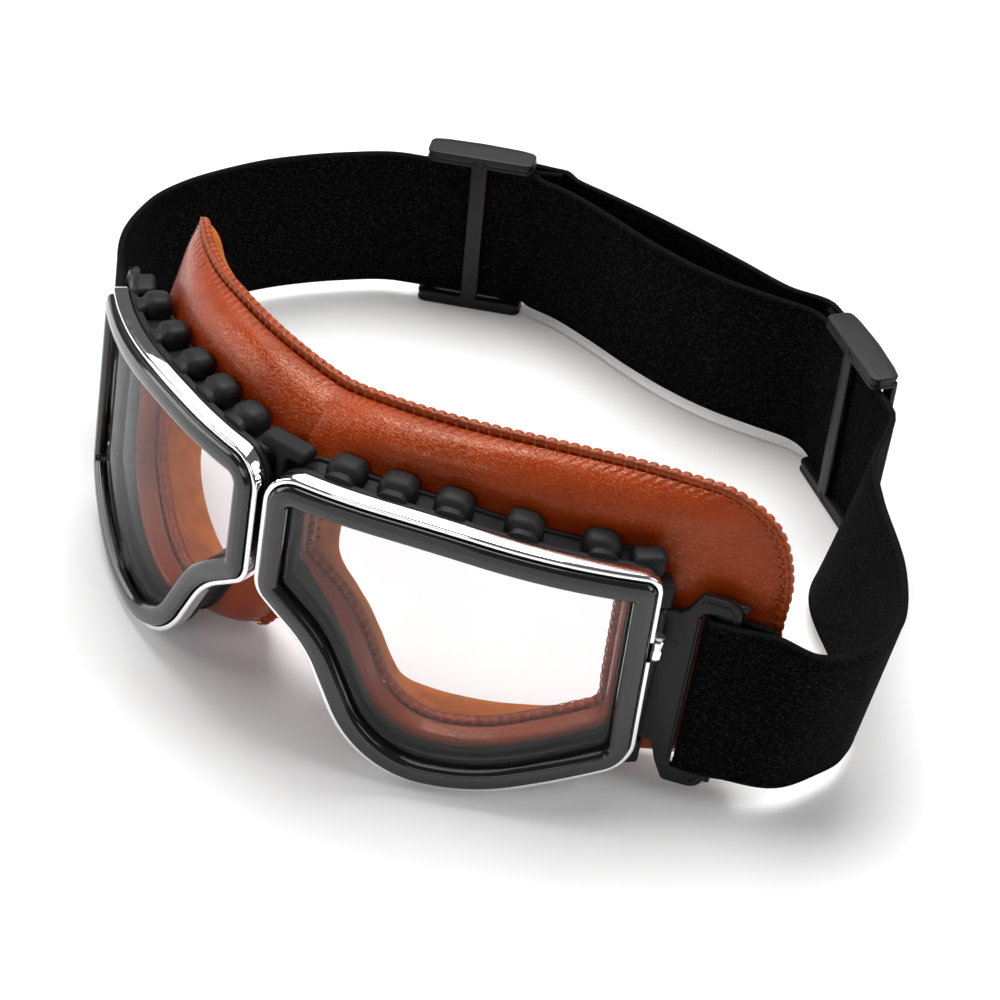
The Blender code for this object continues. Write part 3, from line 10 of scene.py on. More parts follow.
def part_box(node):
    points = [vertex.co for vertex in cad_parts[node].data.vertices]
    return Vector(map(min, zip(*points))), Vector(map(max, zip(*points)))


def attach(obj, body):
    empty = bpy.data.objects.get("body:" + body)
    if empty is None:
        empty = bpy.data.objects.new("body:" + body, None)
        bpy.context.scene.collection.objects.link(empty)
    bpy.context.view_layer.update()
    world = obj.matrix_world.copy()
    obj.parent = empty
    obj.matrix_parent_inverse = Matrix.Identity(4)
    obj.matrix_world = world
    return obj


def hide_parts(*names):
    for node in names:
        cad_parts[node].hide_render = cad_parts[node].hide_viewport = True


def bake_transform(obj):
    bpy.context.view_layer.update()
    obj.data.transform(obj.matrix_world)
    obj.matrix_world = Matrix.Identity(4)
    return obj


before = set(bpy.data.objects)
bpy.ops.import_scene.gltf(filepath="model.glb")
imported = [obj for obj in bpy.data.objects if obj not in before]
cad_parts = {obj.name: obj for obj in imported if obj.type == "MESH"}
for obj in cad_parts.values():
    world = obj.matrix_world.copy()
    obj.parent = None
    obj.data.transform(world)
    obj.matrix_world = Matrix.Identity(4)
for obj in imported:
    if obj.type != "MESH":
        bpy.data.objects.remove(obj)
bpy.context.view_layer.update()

# Camera, lamps and floor. The goggles are seen from above the wearer's left, on a pale table under a large soft
# lamp. A pale sheet behind them is what the bright rims reflect.
RIGHT, LEFT = 1, -1
SIDES = {RIGHT: "right", LEFT: "left"}
FACE_RADIUS = 0.1321
FACE_START_ANGLE = math.radians(7.4)
LEAN_SHARE = 0.11
NOSE_HALF_GAP = 0.0010
PIN_PLACE = 0.0898
PIN_DEPTH = 0.0076
CAMERA_PLACE = (0.28558, -0.33114, 0.41590)
CAMERA_RIGHT = (0.79206, 0.60515, 0.08010)
CAMERA_UP = (-0.42881, 0.45827, 0.77854)
CAMERA_FORWARD = (-0.43442, 0.65101, -0.62247)
LENS_MILLIMETRES = 97.714
WHITE = (1.0, 1.0, 1.0)
SKY_STRENGTH = 0.12
FLOOR_SIZE = 6.0
FLOOR_WHITE = (0.95, 0.95, 0.95)
FLOOR_SHARE = 0.06
FLOOR_PALING = (0.30, 1.0)
Lamp = namedtuple("Lamp", "name place target size power")
LAMPS = (
    Lamp("overhead_lamp", place=(-0.22, 0.28, 1.10), target=(0, 0, 0.03), size=(0.8, 0.65), power=14.5),
    Lamp("left_lamp", place=(-1.05, -0.35, 0.55), target=(0, 0, 0.04), size=(0.6, 0.8), power=5.5),
    Lamp("right_lamp", place=(1.0, 0.35, 0.75), target=(0, 0, 0.04), size=(0.5, 0.7), power=4.6),
    Lamp("front_lamp", place=(0.25, -1.1, 0.65), target=(0, 0, 0.03), size=(0.7, 0.4), power=2.6),
    Lamp("back_sheet", place=(-0.70, 1.04, 0.98), target=(0, 0, 0.04), size=(1.3, 0.9), power=5.2),
)


def on_front(side, along, depth, height):
    """A point by its distance along the lens front, its depth behind it and its height, before the shift."""
    angle = FACE_START_ANGLE + along / FACE_RADIUS
    x = NOSE_HALF_GAP + FACE_RADIUS * (math.sin(angle) - math.sin(FACE_START_ANGLE)) - depth * math.sin(angle)
    y = FACE_RADIUS * (math.cos(FACE_START_ANGLE) - math.cos(angle)) + depth * math.cos(angle)
    return Vector((side * x, y + LEAN_SHARE * height, height))


pin_low, pin_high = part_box("right_bracket_pin")
pin_middle = (pin_low + pin_high) / 2
SHIFT = pin_middle - on_front(RIGHT, PIN_PLACE, PIN_DEPTH, pin_middle.z)


def on_face(side, along, depth, height):
    return on_front(side, along, depth, height) + SHIFT


def linked(name, data):
    """A new object in the scene."""
    made = bpy.data.objects.new(name, data)
    bpy.context.scene.collection.objects.link(made)
    return made


camera_data = bpy.data.cameras.new("camera")
camera_data.lens = LENS_MILLIMETRES
camera = linked("camera", camera_data)
columns = [Vector(CAMERA_RIGHT), Vector(CAMERA_UP), -Vector(CAMERA_FORWARD)]
turn = Matrix([[column[row] for column in columns] for row in range(3)]).to_4x4()
camera.matrix_world = Matrix.Translation(Vector(CAMERA_PLACE) + SHIFT) @ turn
bpy.context.scene.camera = camera
bpy.context.scene.view_settings.view_transform = "Standard"

for each in LAMPS:
    light = bpy.data.lights.new(each.name, "AREA")
    light.shape = "RECTANGLE"
    light.size, light.size_y = each.size
    light.energy = each.power
    lamp = linked(each.name, light)
    lamp.location = each.place
    lamp.rotation_euler = (Vector(each.target) - Vector(each.place)).to_track_quat("-Z", "Y").to_euler()


class Value:
    """A changing number, colour or direction in a node tree. Sums on it add Math nodes."""

    def __init__(self, nodes, socket):
        self.nodes = nodes
        self.socket = socket

    def worked(self, operation, *others):
        """What a Math node makes of this value and the others."""
        return self.nodes.node("ShaderNodeMath", {"operation": operation}, dict(enumerate((self, *others))))

    def part(self, output):
        """Another output of the node that this value comes from."""
        return Value(self.nodes, self.socket.node.outputs[output])

    def __add__(self, other):
        return self.worked("ADD", other)

    def __sub__(self, other):
        return self.worked("SUBTRACT", other)

    def __rsub__(self, other):
        return self.nodes.node("ShaderNodeMath", {"operation": "SUBTRACT"}, {0: other, 1: self})

    def __mul__(self, other):
        return self.worked("MULTIPLY", other)

    __radd__ = __add__
    __rmul__ = __mul__


class Nodes:
    """A node tree, with one method that makes any node in it."""

    def __init__(self, tree):
        self.tree = tree

    def node(self, kind, settings=None, inputs=None, output=0):
        made = self.tree.nodes.new(kind)
        for name, value in (settings or {}).items():
            if name == "stops":
                while len(made.color_ramp.elements) < len(value):
                    made.color_ramp.elements.new(1.0)
                for element, (place, stop) in zip(made.color_ramp.elements, value):
                    element.position = place
                    element.color = (stop, stop, stop, 1.0)
            else:
                setattr(made, name, value)
        for socket, value in (inputs or {}).items():
            if isinstance(value, Value):
                self.tree.links.new(value.socket, made.inputs[socket])
            else:
                made.inputs[socket].default_value = value
        return Value(self, made.outputs[output])

    def seen_by(self, *kinds):
        """One where the ray is of any of these kinds."""
        rays = [self.node("ShaderNodeLightPath", output=f"Is {kind} Ray") for kind in kinds]
        seen = rays[0]
        for ray in rays[1:]:
            seen = seen.worked("MAXIMUM", ray)
        return seen

    def show_mix(self, factor, one, two, output):
        mixed = self.node("ShaderNodeMixShader", {}, {0: factor, 1: one, 2: two})
        self.tree.links.new(mixed.socket, self.tree.nodes[output].inputs["Surface"])


class Finish(Nodes):
    """One material round a Principled shader."""

    def __init__(self, name, colour, roughness, metallic=0.0, **constants):
        self.material = bpy.data.materials.new(name)
        self.material.use_nodes = True
        super().__init__(self.material.node_tree)
        self.shader = self.tree.nodes["Principled BSDF"]
        fixed = {"Base Color": (*colour, 1.0), "Roughness": roughness, "Metallic": metallic}
        for socket, value in {**fixed, **constants}.items():
            self.shader.inputs[socket].default_value = value

    def where(self):
        return self.node("ShaderNodeTexCoord", output="Object")

    def noise(self, place, scale, detail=2.0, roughness=0.5, distortion=0.0):
        return self.node("ShaderNodeTexNoise", {}, {"Vector": place, "Scale": scale, "Detail": detail,
                                                    "Roughness": roughness, "Distortion": distortion})

    def between(self, factor, span, first=0.0, last=1.0):
        """The factor stretched from one end of a span to the other, or as it is where no span is given."""
        if span is None:
            return factor
        return self.node("ShaderNodeValToRGB", {"stops": ((span[0], first), (span[1], last))}, {"Fac": factor})

    def mix(self, factor, one, two):
        """Between two colours, each a colour or a Value."""
        inputs = {0: factor, 6: (*one, 1.0) if isinstance(one, tuple) else one,
                  7: (*two, 1.0) if isinstance(two, tuple) else two}
        return self.node("ShaderNodeMix", {"data_type": "RGBA"}, inputs, 2)

    def bump(self, height, distance, strength=1.0):
        return self.node("ShaderNodeBump", {}, {"Height": height, "Distance": distance, "Strength": strength})

    def feed(self, **sockets):
        names = {"base": "Base Color", "roughness": "Roughness", "normal": "Normal"}
        for name, value in sockets.items():
            self.tree.links.new(value.socket, self.shader.inputs[names[name]])


world = bpy.data.worlds.new("studio")
world.use_nodes = True
bpy.context.scene.world = world
sky = Nodes(world.node_tree)
dim_sky, white_sky = (sky.node("ShaderNodeBackground", {}, {"Color": (*WHITE, 1.0), "Strength": strength})
                      for strength in (SKY_STRENGTH, 1.0))
sky.show_mix(sky.seen_by("Camera", "Transmission"), dim_sky, white_sky, "World Output")

half_floor = FLOOR_SIZE / 2
floor_mesh = bpy.data.meshes.new("floor")
floor_mesh.from_pydata([(x * half_floor, y * half_floor, 0.0) for x, y in ((-1, -1), (1, -1), (1, 1), (-1, 1))],
                       [], [(0, 1, 2, 3)])
floor = linked("floor", floor_mesh)
pale = Finish("pale_floor", FLOOR_WHITE, 0.7, 0.0, **{"Specular IOR Level": 0.2})
far = pale.node("ShaderNodeVectorMath", {"operation": "LENGTH"}, {0: pale.where()}, "Value")
paling = pale.node("ShaderNodeMapRange", {}, {"Value": far, "From Min": FLOOR_PALING[0], "From Max": FLOOR_PALING[1],
                                              "To Min": FLOOR_SHARE, "To Max": 1.0}, "Result")
pale.show_mix(pale.seen_by("Camera", "Glossy", "Transmission") * paling, Value(pale, pale.shader.outputs[0]),
              pale.node("ShaderNodeEmission"), "Material Output")
floor_mesh.materials.append(pale.material)

# Eyecups: moulded black rubber, one behind each lens, with five rounded vent humps and an end block along the brow.
# Each is a hollow ring whose lip is gripped by the rim; the humps are part of the moulding.
FRAME_WIDTH = 0.0888
TEMPLE_TOP_HEIGHT = 0.0592
FRAME_CORNERS = (
    (0.0, 0.0684, 0.0080),
    (0.038, 0.0676, 0.150),
    (0.0873, TEMPLE_TOP_HEIGHT, 0.0048),
    (FRAME_WIDTH, 0.0100, 0.0080),
    (0.056, 0.0, 0.060),
    (0.0284, 0.0, 0.0280),
    (0.0132, 0.0284, 0.0250),
    (0.0, 0.0380, 0.0062),
)
NOSE_TOP, TEMPLE_TOP, TEMPLE_LOW, CHIN, NOSE_LOW = 0, 2, 3, 5, 7
OUTLINE_STEP = 0.0012
CORNER_STEPS = 8
LEAST_RADIUS = 0.0004
RIM_DEPTH = 0.0034
RIM_SHEET = 0.0005
RIM_FRONT_LIP = 0.0012
RIM_REAR_LIP = 0.0009
FIT_GAP = 0.0003
BEZEL_FOOT = 0.0008
BEZEL_WIDTH = 0.0061
BEZEL_PROUD = 0.0015
BEZEL_STEP = 0.0006
LENS_THICKNESS = 0.0020
LENS_SEAT = 0.0015
CUP_FLANGE = 0.0017
CUP_WALL = 0.0016
CUP_WALL_INSET = 0.0024
CUP_DEPTH = 0.0124
CUP_REAR_FLANGE = 0.0012
CUP_REAR_INSET = 0.0016
LENS_SHOULDER_INSET = 0.0060
LENS_SHOULDER = 0.0010
HOOD_SHARES = (0.167, 0.307, 0.454, 0.636, 0.835)
HOOD_WIDTH = 0.0092
HOOD_HEIGHT = 0.0024
HOOD_ROOT = 0.0032
HOOD_STEPS = 12
HOOD_POWERS = (0.58, 0.52)
HOOD_STAGES = (
    (0.00, 0.00, 0.70),
    (0.03, 0.36, 0.82),
    (0.13, 0.42, 0.80),
    (0.21, 0.44, 0.72),
    (0.28, 0.76, 0.80),
    (0.38, 0.99, 0.96),
    (0.55, 1.00, 1.00),
    (0.80, 0.96, 0.98),
    (0.92, 0.80, 0.92),
    (0.985, 0.50, 0.84),
    (1.00, 0.00, 0.80),
)
HOOD_SET_BACK = 0.0012
END_BLOCK_START = 0.0808
END_BLOCK_SET_IN = 0.0024
END_BLOCK_BELOW, END_BLOCK_ABOVE = 0.0032, 0.0018
END_BLOCK_EDGE = 0.0014
CUP_EDGE = 0.0004
KNUCKLE_LOW = 0.0125
KNUCKLE_TOP = 0.0468
LUG_PLAY = 0.0004
LUG_HEIGHT = 0.0062
LUG_OVERHANG = 0.0020
LUG_WIDTH = 0.0066
LUG_BACK = 0.0020
LUG_EDGE = 0.0008
SOFT_SEGMENTS = 4
SHARPEST_BEND = 0.1
LONGEST_ROUNDING = 0.45
RUBBER_COLOUR = (0.006, 0.006, 0.0065)
Noise = namedtuple("Noise", "scale detail roughness distortion", defaults=(2.0, 0.5, 0.0))
Patches = namedtuple("Patches", "noise span one two")
Wear = namedtuple("Wear", "noise span least more")
Grain = namedtuple("Grain", "noise depth strength")


def mottled(name, colour, roughness, metallic=0.0, patches=None, wear=None, grain=None, **constants):
    """A finish with patches of a second colour, a roughness that varies with wear, and a raised grain."""
    finish = Finish(name, colour, roughness, metallic, **constants)
    place = finish.where()
    if patches:
        spread = finish.between(finish.noise(place, *patches.noise), patches.span)
        finish.feed(base=finish.mix(spread, patches.one, patches.two))
    if wear:
        finish.feed(roughness=wear.least + finish.between(finish.noise(place, *wear.noise), wear.span) * wear.more)
    if grain:
        finish.feed(normal=finish.bump(finish.noise(place, *grain.noise), grain.depth, grain.strength))
    return finish.material


# Moulded rubber: nearly black, with a dusty bloom and a fine sparked grain.
bloom = Noise(60.0, detail=3.0, roughness=0.6)
rubber = mottled(
    "moulded_rubber", RUBBER_COLOUR, 0.5,
    patches=Patches(bloom, (0.35, 0.75), RUBBER_COLOUR, (0.010, 0.010, 0.011)),
    wear=Wear(bloom, None, least=0.40, more=0.26),
    grain=Grain(Noise(3500.0, roughness=0.6), depth=0.00006, strength=0.6), **{"Specular IOR Level": 0.22})


def inset_corners(inset):
    places = [Vector(corner[:2]) for corner in FRAME_CORNERS]
    count = len(places)
    insets = inset if isinstance(inset, tuple) else (inset,) * count
    moved = []
    for index, corner in enumerate(FRAME_CORNERS):
        before = (places[index] - places[index - 1]).normalized()
        after = (places[(index + 1) % count] - places[index]).normalized()
        turned = before.x * after.y - before.y * after.x
        one, two = Vector((before.y, -before.x)), Vector((after.y, -after.x))
        first, second = insets[index - 1], insets[index]
        shared = one.dot(two)
        step = one * (first - shared * second) + two * (second - shared * first)
        radius = corner[2] - first if turned < 0 else corner[2] + first
        moved.append((places[index] + step / (1 - shared * shared), max(radius, LEAST_RADIUS)))
    return moved


def corner_arc(before, here, after, radius, steps):
    arriving = (here - before).normalized()
    leaving = (after - here).normalized()
    turned = math.atan2(arriving.x * leaving.y - arriving.y * leaving.x, arriving.dot(leaving))
    reach = radius * math.tan(abs(turned) / 2)
    start = here - arriving * reach
    centre = start + Vector((-arriving.y, arriving.x)) * math.copysign(radius, turned)
    return [centre + Matrix.Rotation(turned * step / steps, 2) @ (start - centre) for step in range(steps + 1)]


def steps_for(length):
    return max(2, round(length / OUTLINE_STEP))


def length_of(points):
    return sum((two - one).length for one, two in zip(points, points[1:]))


OUTLINE_STEPS = []
plain = inset_corners(0.0)
plain_arcs = [corner_arc(plain[index - 1][0], place, plain[(index + 1) % len(plain)][0], radius, CORNER_STEPS)
              for index, (place, radius) in enumerate(plain)]
for index, arc in enumerate(plain_arcs):
    edge = plain_arcs[(index + 1) % len(plain_arcs)][0] - arc[-1]
    OUTLINE_STEPS.append((steps_for(length_of(arc)) * 2, steps_for(edge.length)))


def frame_outline(inset):
    """The rim outline moved inwards, as one list of points for each corner with its following edge."""
    corners = inset_corners(inset)
    count = len(corners)
    arcs = [corner_arc(corners[index - 1][0], place, corners[(index + 1) % count][0], radius, OUTLINE_STEPS[index][0])
            for index, (place, radius) in enumerate(corners)]
    runs = []
    for index, arc in enumerate(arcs):
        steps = OUTLINE_STEPS[index][1]
        following = arcs[(index + 1) % count][0]
        runs.append(arc + [arc[-1].lerp(following, step / steps) for step in range(1, steps)])
    return runs


def softened(section, radius, steps=3):
    """A closed section with each corner rounded, as far as its edges allow."""
    points = [Vector(place) for place in section]
    rounded = []
    for index, here in enumerate(points):
        before, after = points[index - 1], points[(index + 1) % len(points)]
        arriving, leaving = (here - before), (after - here)
        bend = abs(arriving.angle_signed(leaving))
        if bend < SHARPEST_BEND:
            rounded.append(here)
            continue
        most = LONGEST_ROUNDING * min(arriving.length, leaving.length) / math.tan(bend / 2)
        rounded.extend(corner_arc(before, here, after, min(radius, most), steps))
    return rounded


def finished_object(name, mesh, material, smooth=35.0):
    """A mesh made into a piece of the scene, smooth up to the given angle."""
    made = linked(name, mesh)
    mesh.materials.clear()
    mesh.materials.append(material)
    mesh.shade_smooth()
    mesh.set_sharp_from_angle(angle=math.radians(smooth))
    return made


def fitted(name, mesh, material, smooth, slot, body, *nodes):
    """A finished piece with its material, riding on its body and standing for the named CAD nodes. The slot argument
    is not used.
    """
    piece = finished_object(name, mesh, material, smooth)
    if nodes:
        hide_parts(*nodes)
    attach(piece, body)
    return piece


def lofted(rows, closed, ends=True):
    """A bmesh of quads between rows of points, each a closed section."""
    shape = bmesh.new()
    made = [[shape.verts.new(point) for point in row] for row in rows]
    pairs = list(zip(made, made[1:]))
    if closed:
        pairs.append((made[-1], made[0]))
    elif ends:
        shape.faces.new(made[0])
        shape.faces.new(list(reversed(made[-1])))
    for one, two in pairs:
        for index in range(len(one)):
            following = (index + 1) % len(one)
            shape.faces.new((one[index], one[following], two[following], two[index]))
    bmesh.ops.recalc_face_normals(shape, faces=shape.faces)
    return shape


def plain_mesh(name, shape):
    """A mesh from a bmesh, which is used up."""
    mesh = bpy.data.meshes.new(name)
    shape.to_mesh(mesh)
    shape.free()
    return mesh


def mesh_of(name, *shapes):
    """One mesh from several bmeshes."""
    whole = bmesh.new()
    for shape in shapes:
        part = plain_mesh("part", shape)
        whole.from_mesh(part)
        bpy.data.meshes.remove(part)
    return plain_mesh(name, whole)


def ring_rows(side, section):
    """A section of (inset, depth) places, carried round one lens."""
    lanes = {}
    for inset, _ in section:
        if inset not in lanes:
            lanes[inset] = [point for run in frame_outline(inset) for point in run]
    count = len(next(iter(lanes.values())))
    return [[on_face(side, lanes[inset][station].x, depth, lanes[inset][station].y) for inset, depth in section]
            for station in range(count)]


def span_at(along, inset):
    """Lowest and highest point of the inset outline at one place along the lens."""
    points = [point for run in frame_outline(inset) for point in run]
    heights = []
    for one, two in zip(points, points[1:] + points[:1]):
        if min(one.x, two.x) <= along <= max(one.x, two.x) and one.x != two.x:
            heights.append(one.lerp(two, (along - one.x) / (two.x - one.x)).y)
    return min(heights), max(heights)


def hump(side, along, front, back):
    """A vent hump: square and rounded across, with a low chin and a neck in front of its full back."""
    rows = []
    for way, rise, spread in HOOD_STAGES:
        depth = front + (back - front) * way
        row = []
        for step in range(HOOD_STEPS + 1):
            angle = math.pi * step / HOOD_STEPS
            across = -math.cos(angle)
            across = math.copysign(abs(across) ** HOOD_POWERS[0], across) * HOOD_WIDTH / 2 * spread
            up = math.sin(angle) ** HOOD_POWERS[1]
            height = span_at(along + across, 0.0)[1] - HOOD_ROOT + (HOOD_ROOT + HOOD_HEIGHT * rise) * up
            row.append(on_face(side, along + across, depth, height))
        rows.append(row)
    return lofted(rows, False)


def block(spans, edge, segments, placed):
    """A block by its limits, with rounded edges, whose points are then placed by the given function."""
    shape = bmesh.new()
    bmesh.ops.create_cube(shape, size=1.0)
    for vertex in shape.verts:
        for axis, (low, high) in enumerate(spans):
            vertex.co[axis] = high if vertex.co[axis] > 0 else low
    bmesh.ops.bevel(shape, geom=shape.edges[:], offset=edge, segments=segments, profile=0.5, affect="EDGES")
    for vertex in shape.verts:
        vertex.co = placed(vertex.co)
    bmesh.ops.recalc_face_normals(shape, faces=shape.faces)
    return shape


def make_eyecup(side):
    """The cup ring with its lip, lens seat and rear flange, and all that is moulded on it."""
    lip = RIM_SHEET + BEZEL_FOOT + 3 * FIT_GAP
    lip_back = RIM_DEPTH - RIM_SHEET - FIT_GAP
    lens_edge = BEZEL_WIDTH - LENS_SEAT - FIT_GAP
    lens_back = BEZEL_STEP + 2 * FIT_GAP + LENS_THICKNESS
    flange = RIM_DEPTH + FIT_GAP
    inner = CUP_WALL_INSET + CUP_WALL
    shoulder = lens_back + LENS_SHOULDER
    section = softened((
        (RIM_SHEET + FIT_GAP, lip),
        (lens_edge, lip),
        (lens_edge, lens_back),
        (LENS_SHOULDER_INSET, lens_back),
        (LENS_SHOULDER_INSET, shoulder),
        (inner, shoulder + LENS_SHOULDER),
        (inner, CUP_DEPTH),
        (CUP_REAR_INSET, CUP_DEPTH),
        (CUP_REAR_INSET, CUP_DEPTH - CUP_REAR_FLANGE),
        (CUP_WALL_INSET, CUP_DEPTH - CUP_REAR_FLANGE),
        (CUP_WALL_INSET, flange + CUP_FLANGE),
        (FIT_GAP, flange + CUP_FLANGE),
        (FIT_GAP, flange),
        (RIM_REAR_LIP + FIT_GAP, flange),
        (RIM_REAR_LIP + FIT_GAP, lip_back),
        (RIM_SHEET + FIT_GAP, lip_back),
    ), CUP_EDGE)
    shapes = [lofted(ring_rows(side, section), True)]
    front = flange + CUP_FLANGE - HOOD_SET_BACK
    back = CUP_DEPTH - FIT_GAP
    for share in HOOD_SHARES:
        shapes.append(hump(side, FRAME_WIDTH * share, front, back))
    lugs = [((END_BLOCK_START, FRAME_WIDTH - FIT_GAP), (front, back - END_BLOCK_SET_IN),
             (TEMPLE_TOP_HEIGHT - END_BLOCK_BELOW, TEMPLE_TOP_HEIGHT + END_BLOCK_ABOVE), END_BLOCK_EDGE)]
    along = (PIN_PLACE + LUG_OVERHANG - LUG_WIDTH, PIN_PLACE + LUG_OVERHANG)
    for height in ((KNUCKLE_LOW - LUG_PLAY - LUG_HEIGHT, KNUCKLE_LOW - LUG_PLAY),
                   (KNUCKLE_TOP + LUG_PLAY, KNUCKLE_TOP + LUG_PLAY + LUG_HEIGHT)):
        lugs.append((along, (RIM_DEPTH + CUP_FLANGE, PIN_DEPTH + LUG_BACK), height, LUG_EDGE))
    for *spans, edge in lugs:
        shapes.append(block(spans, edge, SOFT_SEGMENTS, lambda point: on_face(side, *point)))
    fitted(f"{SIDES[side]}_rubber_eyecup", mesh_of("eyecup", *shapes), rubber, 40, "black_rubber", "goggles",
           f"{SIDES[side]}_eyecup")


for side in SIDES:
    make_eyecup(side)

# Lenses: clear polycarbonate plates, curved round one upright axis and polished. Each drops into its eyecup from
# the front and is held by the surround.
LENS_REFLECTION = 0.03
LENS_GRAZING_POWER = 9.0
LENS_POLISH = 0.02
LENS_TINT = (0.895, 0.90, 0.905, 1.0)
LENS_COLUMNS = 120
LENS_ROWS = 3
LENS_PLAY = 0.0002


def make_lens_finish():
    """Clear plastic: seen through, with a reflection that grows at grazing angles and a faint grey body."""
    finish = Finish("clear_lens_plastic", (0.92, 0.93, 0.93), 0.03, **{"IOR": 1.5})
    through = finish.node("ShaderNodeBsdfTransparent", {}, {"Color": LENS_TINT})
    gloss = finish.node("ShaderNodeBsdfGlossy", {}, {"Roughness": LENS_POLISH})
    grazing = finish.node("ShaderNodeLayerWeight", {}, {"Blend": 0.5}, 1).worked("POWER", LENS_GRAZING_POWER)
    finish.show_mix(LENS_REFLECTION + grazing * (1 - LENS_REFLECTION), through, gloss, "Material Output")
    return finish.material


lens_plastic = make_lens_finish()


def make_lens(side):
    inset = BEZEL_WIDTH - LENS_SEAT
    points = [point for run in frame_outline(inset) for point in run]
    first = min(point.x for point in points) + LENS_PLAY
    last = max(point.x for point in points) - LENS_PLAY
    front = BEZEL_STEP + FIT_GAP
    rows = []
    for column in range(LENS_COLUMNS + 1):
        share = (1 - math.cos(math.pi * column / LENS_COLUMNS)) / 2
        along = first + (last - first) * share
        low, high = span_at(along, inset)
        heights = [low + (high - low) * row / LENS_ROWS for row in range(LENS_ROWS + 1)]
        rows.append([on_face(side, along, front, height) for height in heights]
                    + [on_face(side, along, front + LENS_THICKNESS, height) for height in reversed(heights)])
    fitted(f"{SIDES[side]}_clear_lens", mesh_of("lens", lofted(rows, False)), lens_plastic, 50, "clear_lens",
           "goggles", f"{SIDES[side]}_lens")


for side in SIDES:
    make_lens(side)

# Lens surrounds: glossy black moulded rings with a rounded face, standing a little proud of the rims. A thin bright
# bead of the rim shows round each.
GLOSS_COLOUR = (0.008, 0.008, 0.009)
BEZEL_EDGE = 0.0005
BEZEL_EDGE_STEPS = 4
BEZEL_OUTER_SLOPE = 0.0021
BEZEL_INNER_SLOPE = 0.0013
BEZEL_INNER_FALL = 0.0002

# Glossy moulded plastic, with the faint waviness of a mould and a few fine scuffs.
gloss_black = mottled(
    "gloss_black_plastic", GLOSS_COLOUR, 0.16,
    wear=Wear(Noise(900.0, 4.0, 0.7, 1.5), (0.45, 0.75), least=0.10, more=0.16),
    grain=Grain(Noise(140.0), depth=0.00012, strength=0.35), **{"Coat Weight": 0.3, "Coat Roughness": 0.08})


def make_surround(side):
    back = RIM_SHEET + FIT_GAP + BEZEL_FOOT
    foot = RIM_SHEET + FIT_GAP
    shoulder = RIM_FRONT_LIP + FIT_GAP
    seat = BEZEL_WIDTH - LENS_SEAT - FIT_GAP
    section = softened((
        (foot, back),
        (foot, foot),
        (shoulder, foot),
        (shoulder, -BEZEL_STEP),
        (shoulder + BEZEL_STEP, -BEZEL_PROUD + FIT_GAP),
        (shoulder + BEZEL_OUTER_SLOPE, -BEZEL_PROUD),
        (BEZEL_WIDTH - BEZEL_INNER_SLOPE, -BEZEL_PROUD),
        (BEZEL_WIDTH - BEZEL_STEP, -BEZEL_PROUD + BEZEL_INNER_FALL),
        (BEZEL_WIDTH, -BEZEL_STEP),
        (BEZEL_WIDTH, BEZEL_STEP),
        (seat, BEZEL_STEP),
        (seat, back),
    ), BEZEL_EDGE, BEZEL_EDGE_STEPS)
    ring = mesh_of("surround", lofted(ring_rows(side, section), True))
    fitted(f"{SIDES[side]}_gloss_surround", ring, gloss_black, 50, "gloss_black", "goggles",
           f"{SIDES[side]}_lens_surround")


for side in SIDES:
    make_surround(side)

# Rims: bright-plated strips of sheet metal, rolled to a shallow C and bent round the eyecup and the surround. Each is
# open at the temple, where the clasp closes it.
CHROME_COLOUR = (0.86, 0.86, 0.87)
CLASP_HEIGHT = 0.0405
CLASP_LENGTH = 0.0046
RIM_ROLL = 0.0006
RIM_ROLL_STEPS = 5

# Bright plating with faint wipe marks.
chrome = mottled(
    "bright_plating", CHROME_COLOUR, 0.05, 1.0,
    wear=Wear(Noise(220.0, 3.0, 0.6, 0.8), (0.4, 0.8), least=0.035, more=0.09),
    grain=Grain(Noise(180.0, detail=1.0), depth=0.00008, strength=0.25))


def at_temple(runs, height):
    """The point at one height on the straight temple edge of an outline."""
    top, foot = runs[TEMPLE_TOP][OUTLINE_STEPS[TEMPLE_TOP][0]], runs[TEMPLE_LOW][0]
    return top.lerp(foot, (top.y - height) / (top.y - foot.y))


def make_rim(side):
    section = softened((
        (0.0, 0.0),
        (0.0, RIM_DEPTH),
        (RIM_REAR_LIP, RIM_DEPTH),
        (RIM_REAR_LIP, RIM_DEPTH - RIM_SHEET),
        (RIM_SHEET, RIM_DEPTH - RIM_SHEET),
        (RIM_SHEET, RIM_SHEET),
        (RIM_FRONT_LIP, RIM_SHEET),
        (RIM_FRONT_LIP, 0.0),
    ), RIM_ROLL, RIM_ROLL_STEPS)
    low = CLASP_HEIGHT - CLASP_LENGTH / 2 - FIT_GAP
    high = CLASP_HEIGHT + CLASP_LENGTH / 2 + FIT_GAP
    lanes = []
    for inset, _ in section:
        runs = frame_outline(inset)
        lane = [at_temple(runs, low)]
        for run in runs[TEMPLE_LOW:] + runs[:TEMPLE_TOP]:
            lane.extend(run)
        lane.extend(runs[TEMPLE_TOP][:OUTLINE_STEPS[TEMPLE_TOP][0] + 1])
        lane.append(at_temple(runs, high))
        lanes.append(lane)
    rows = [[on_face(side, lane[station].x, depth, lane[station].y) for lane, (_, depth) in zip(lanes, section)]
            for station in range(len(lanes[0]))]
    fitted(f"{SIDES[side]}_bright_rim", mesh_of("rim", lofted(rows, False)), chrome, 50, "chrome", "goggles",
           f"{SIDES[side]}_chrome_rim")


for side in SIDES:
    make_rim(side)

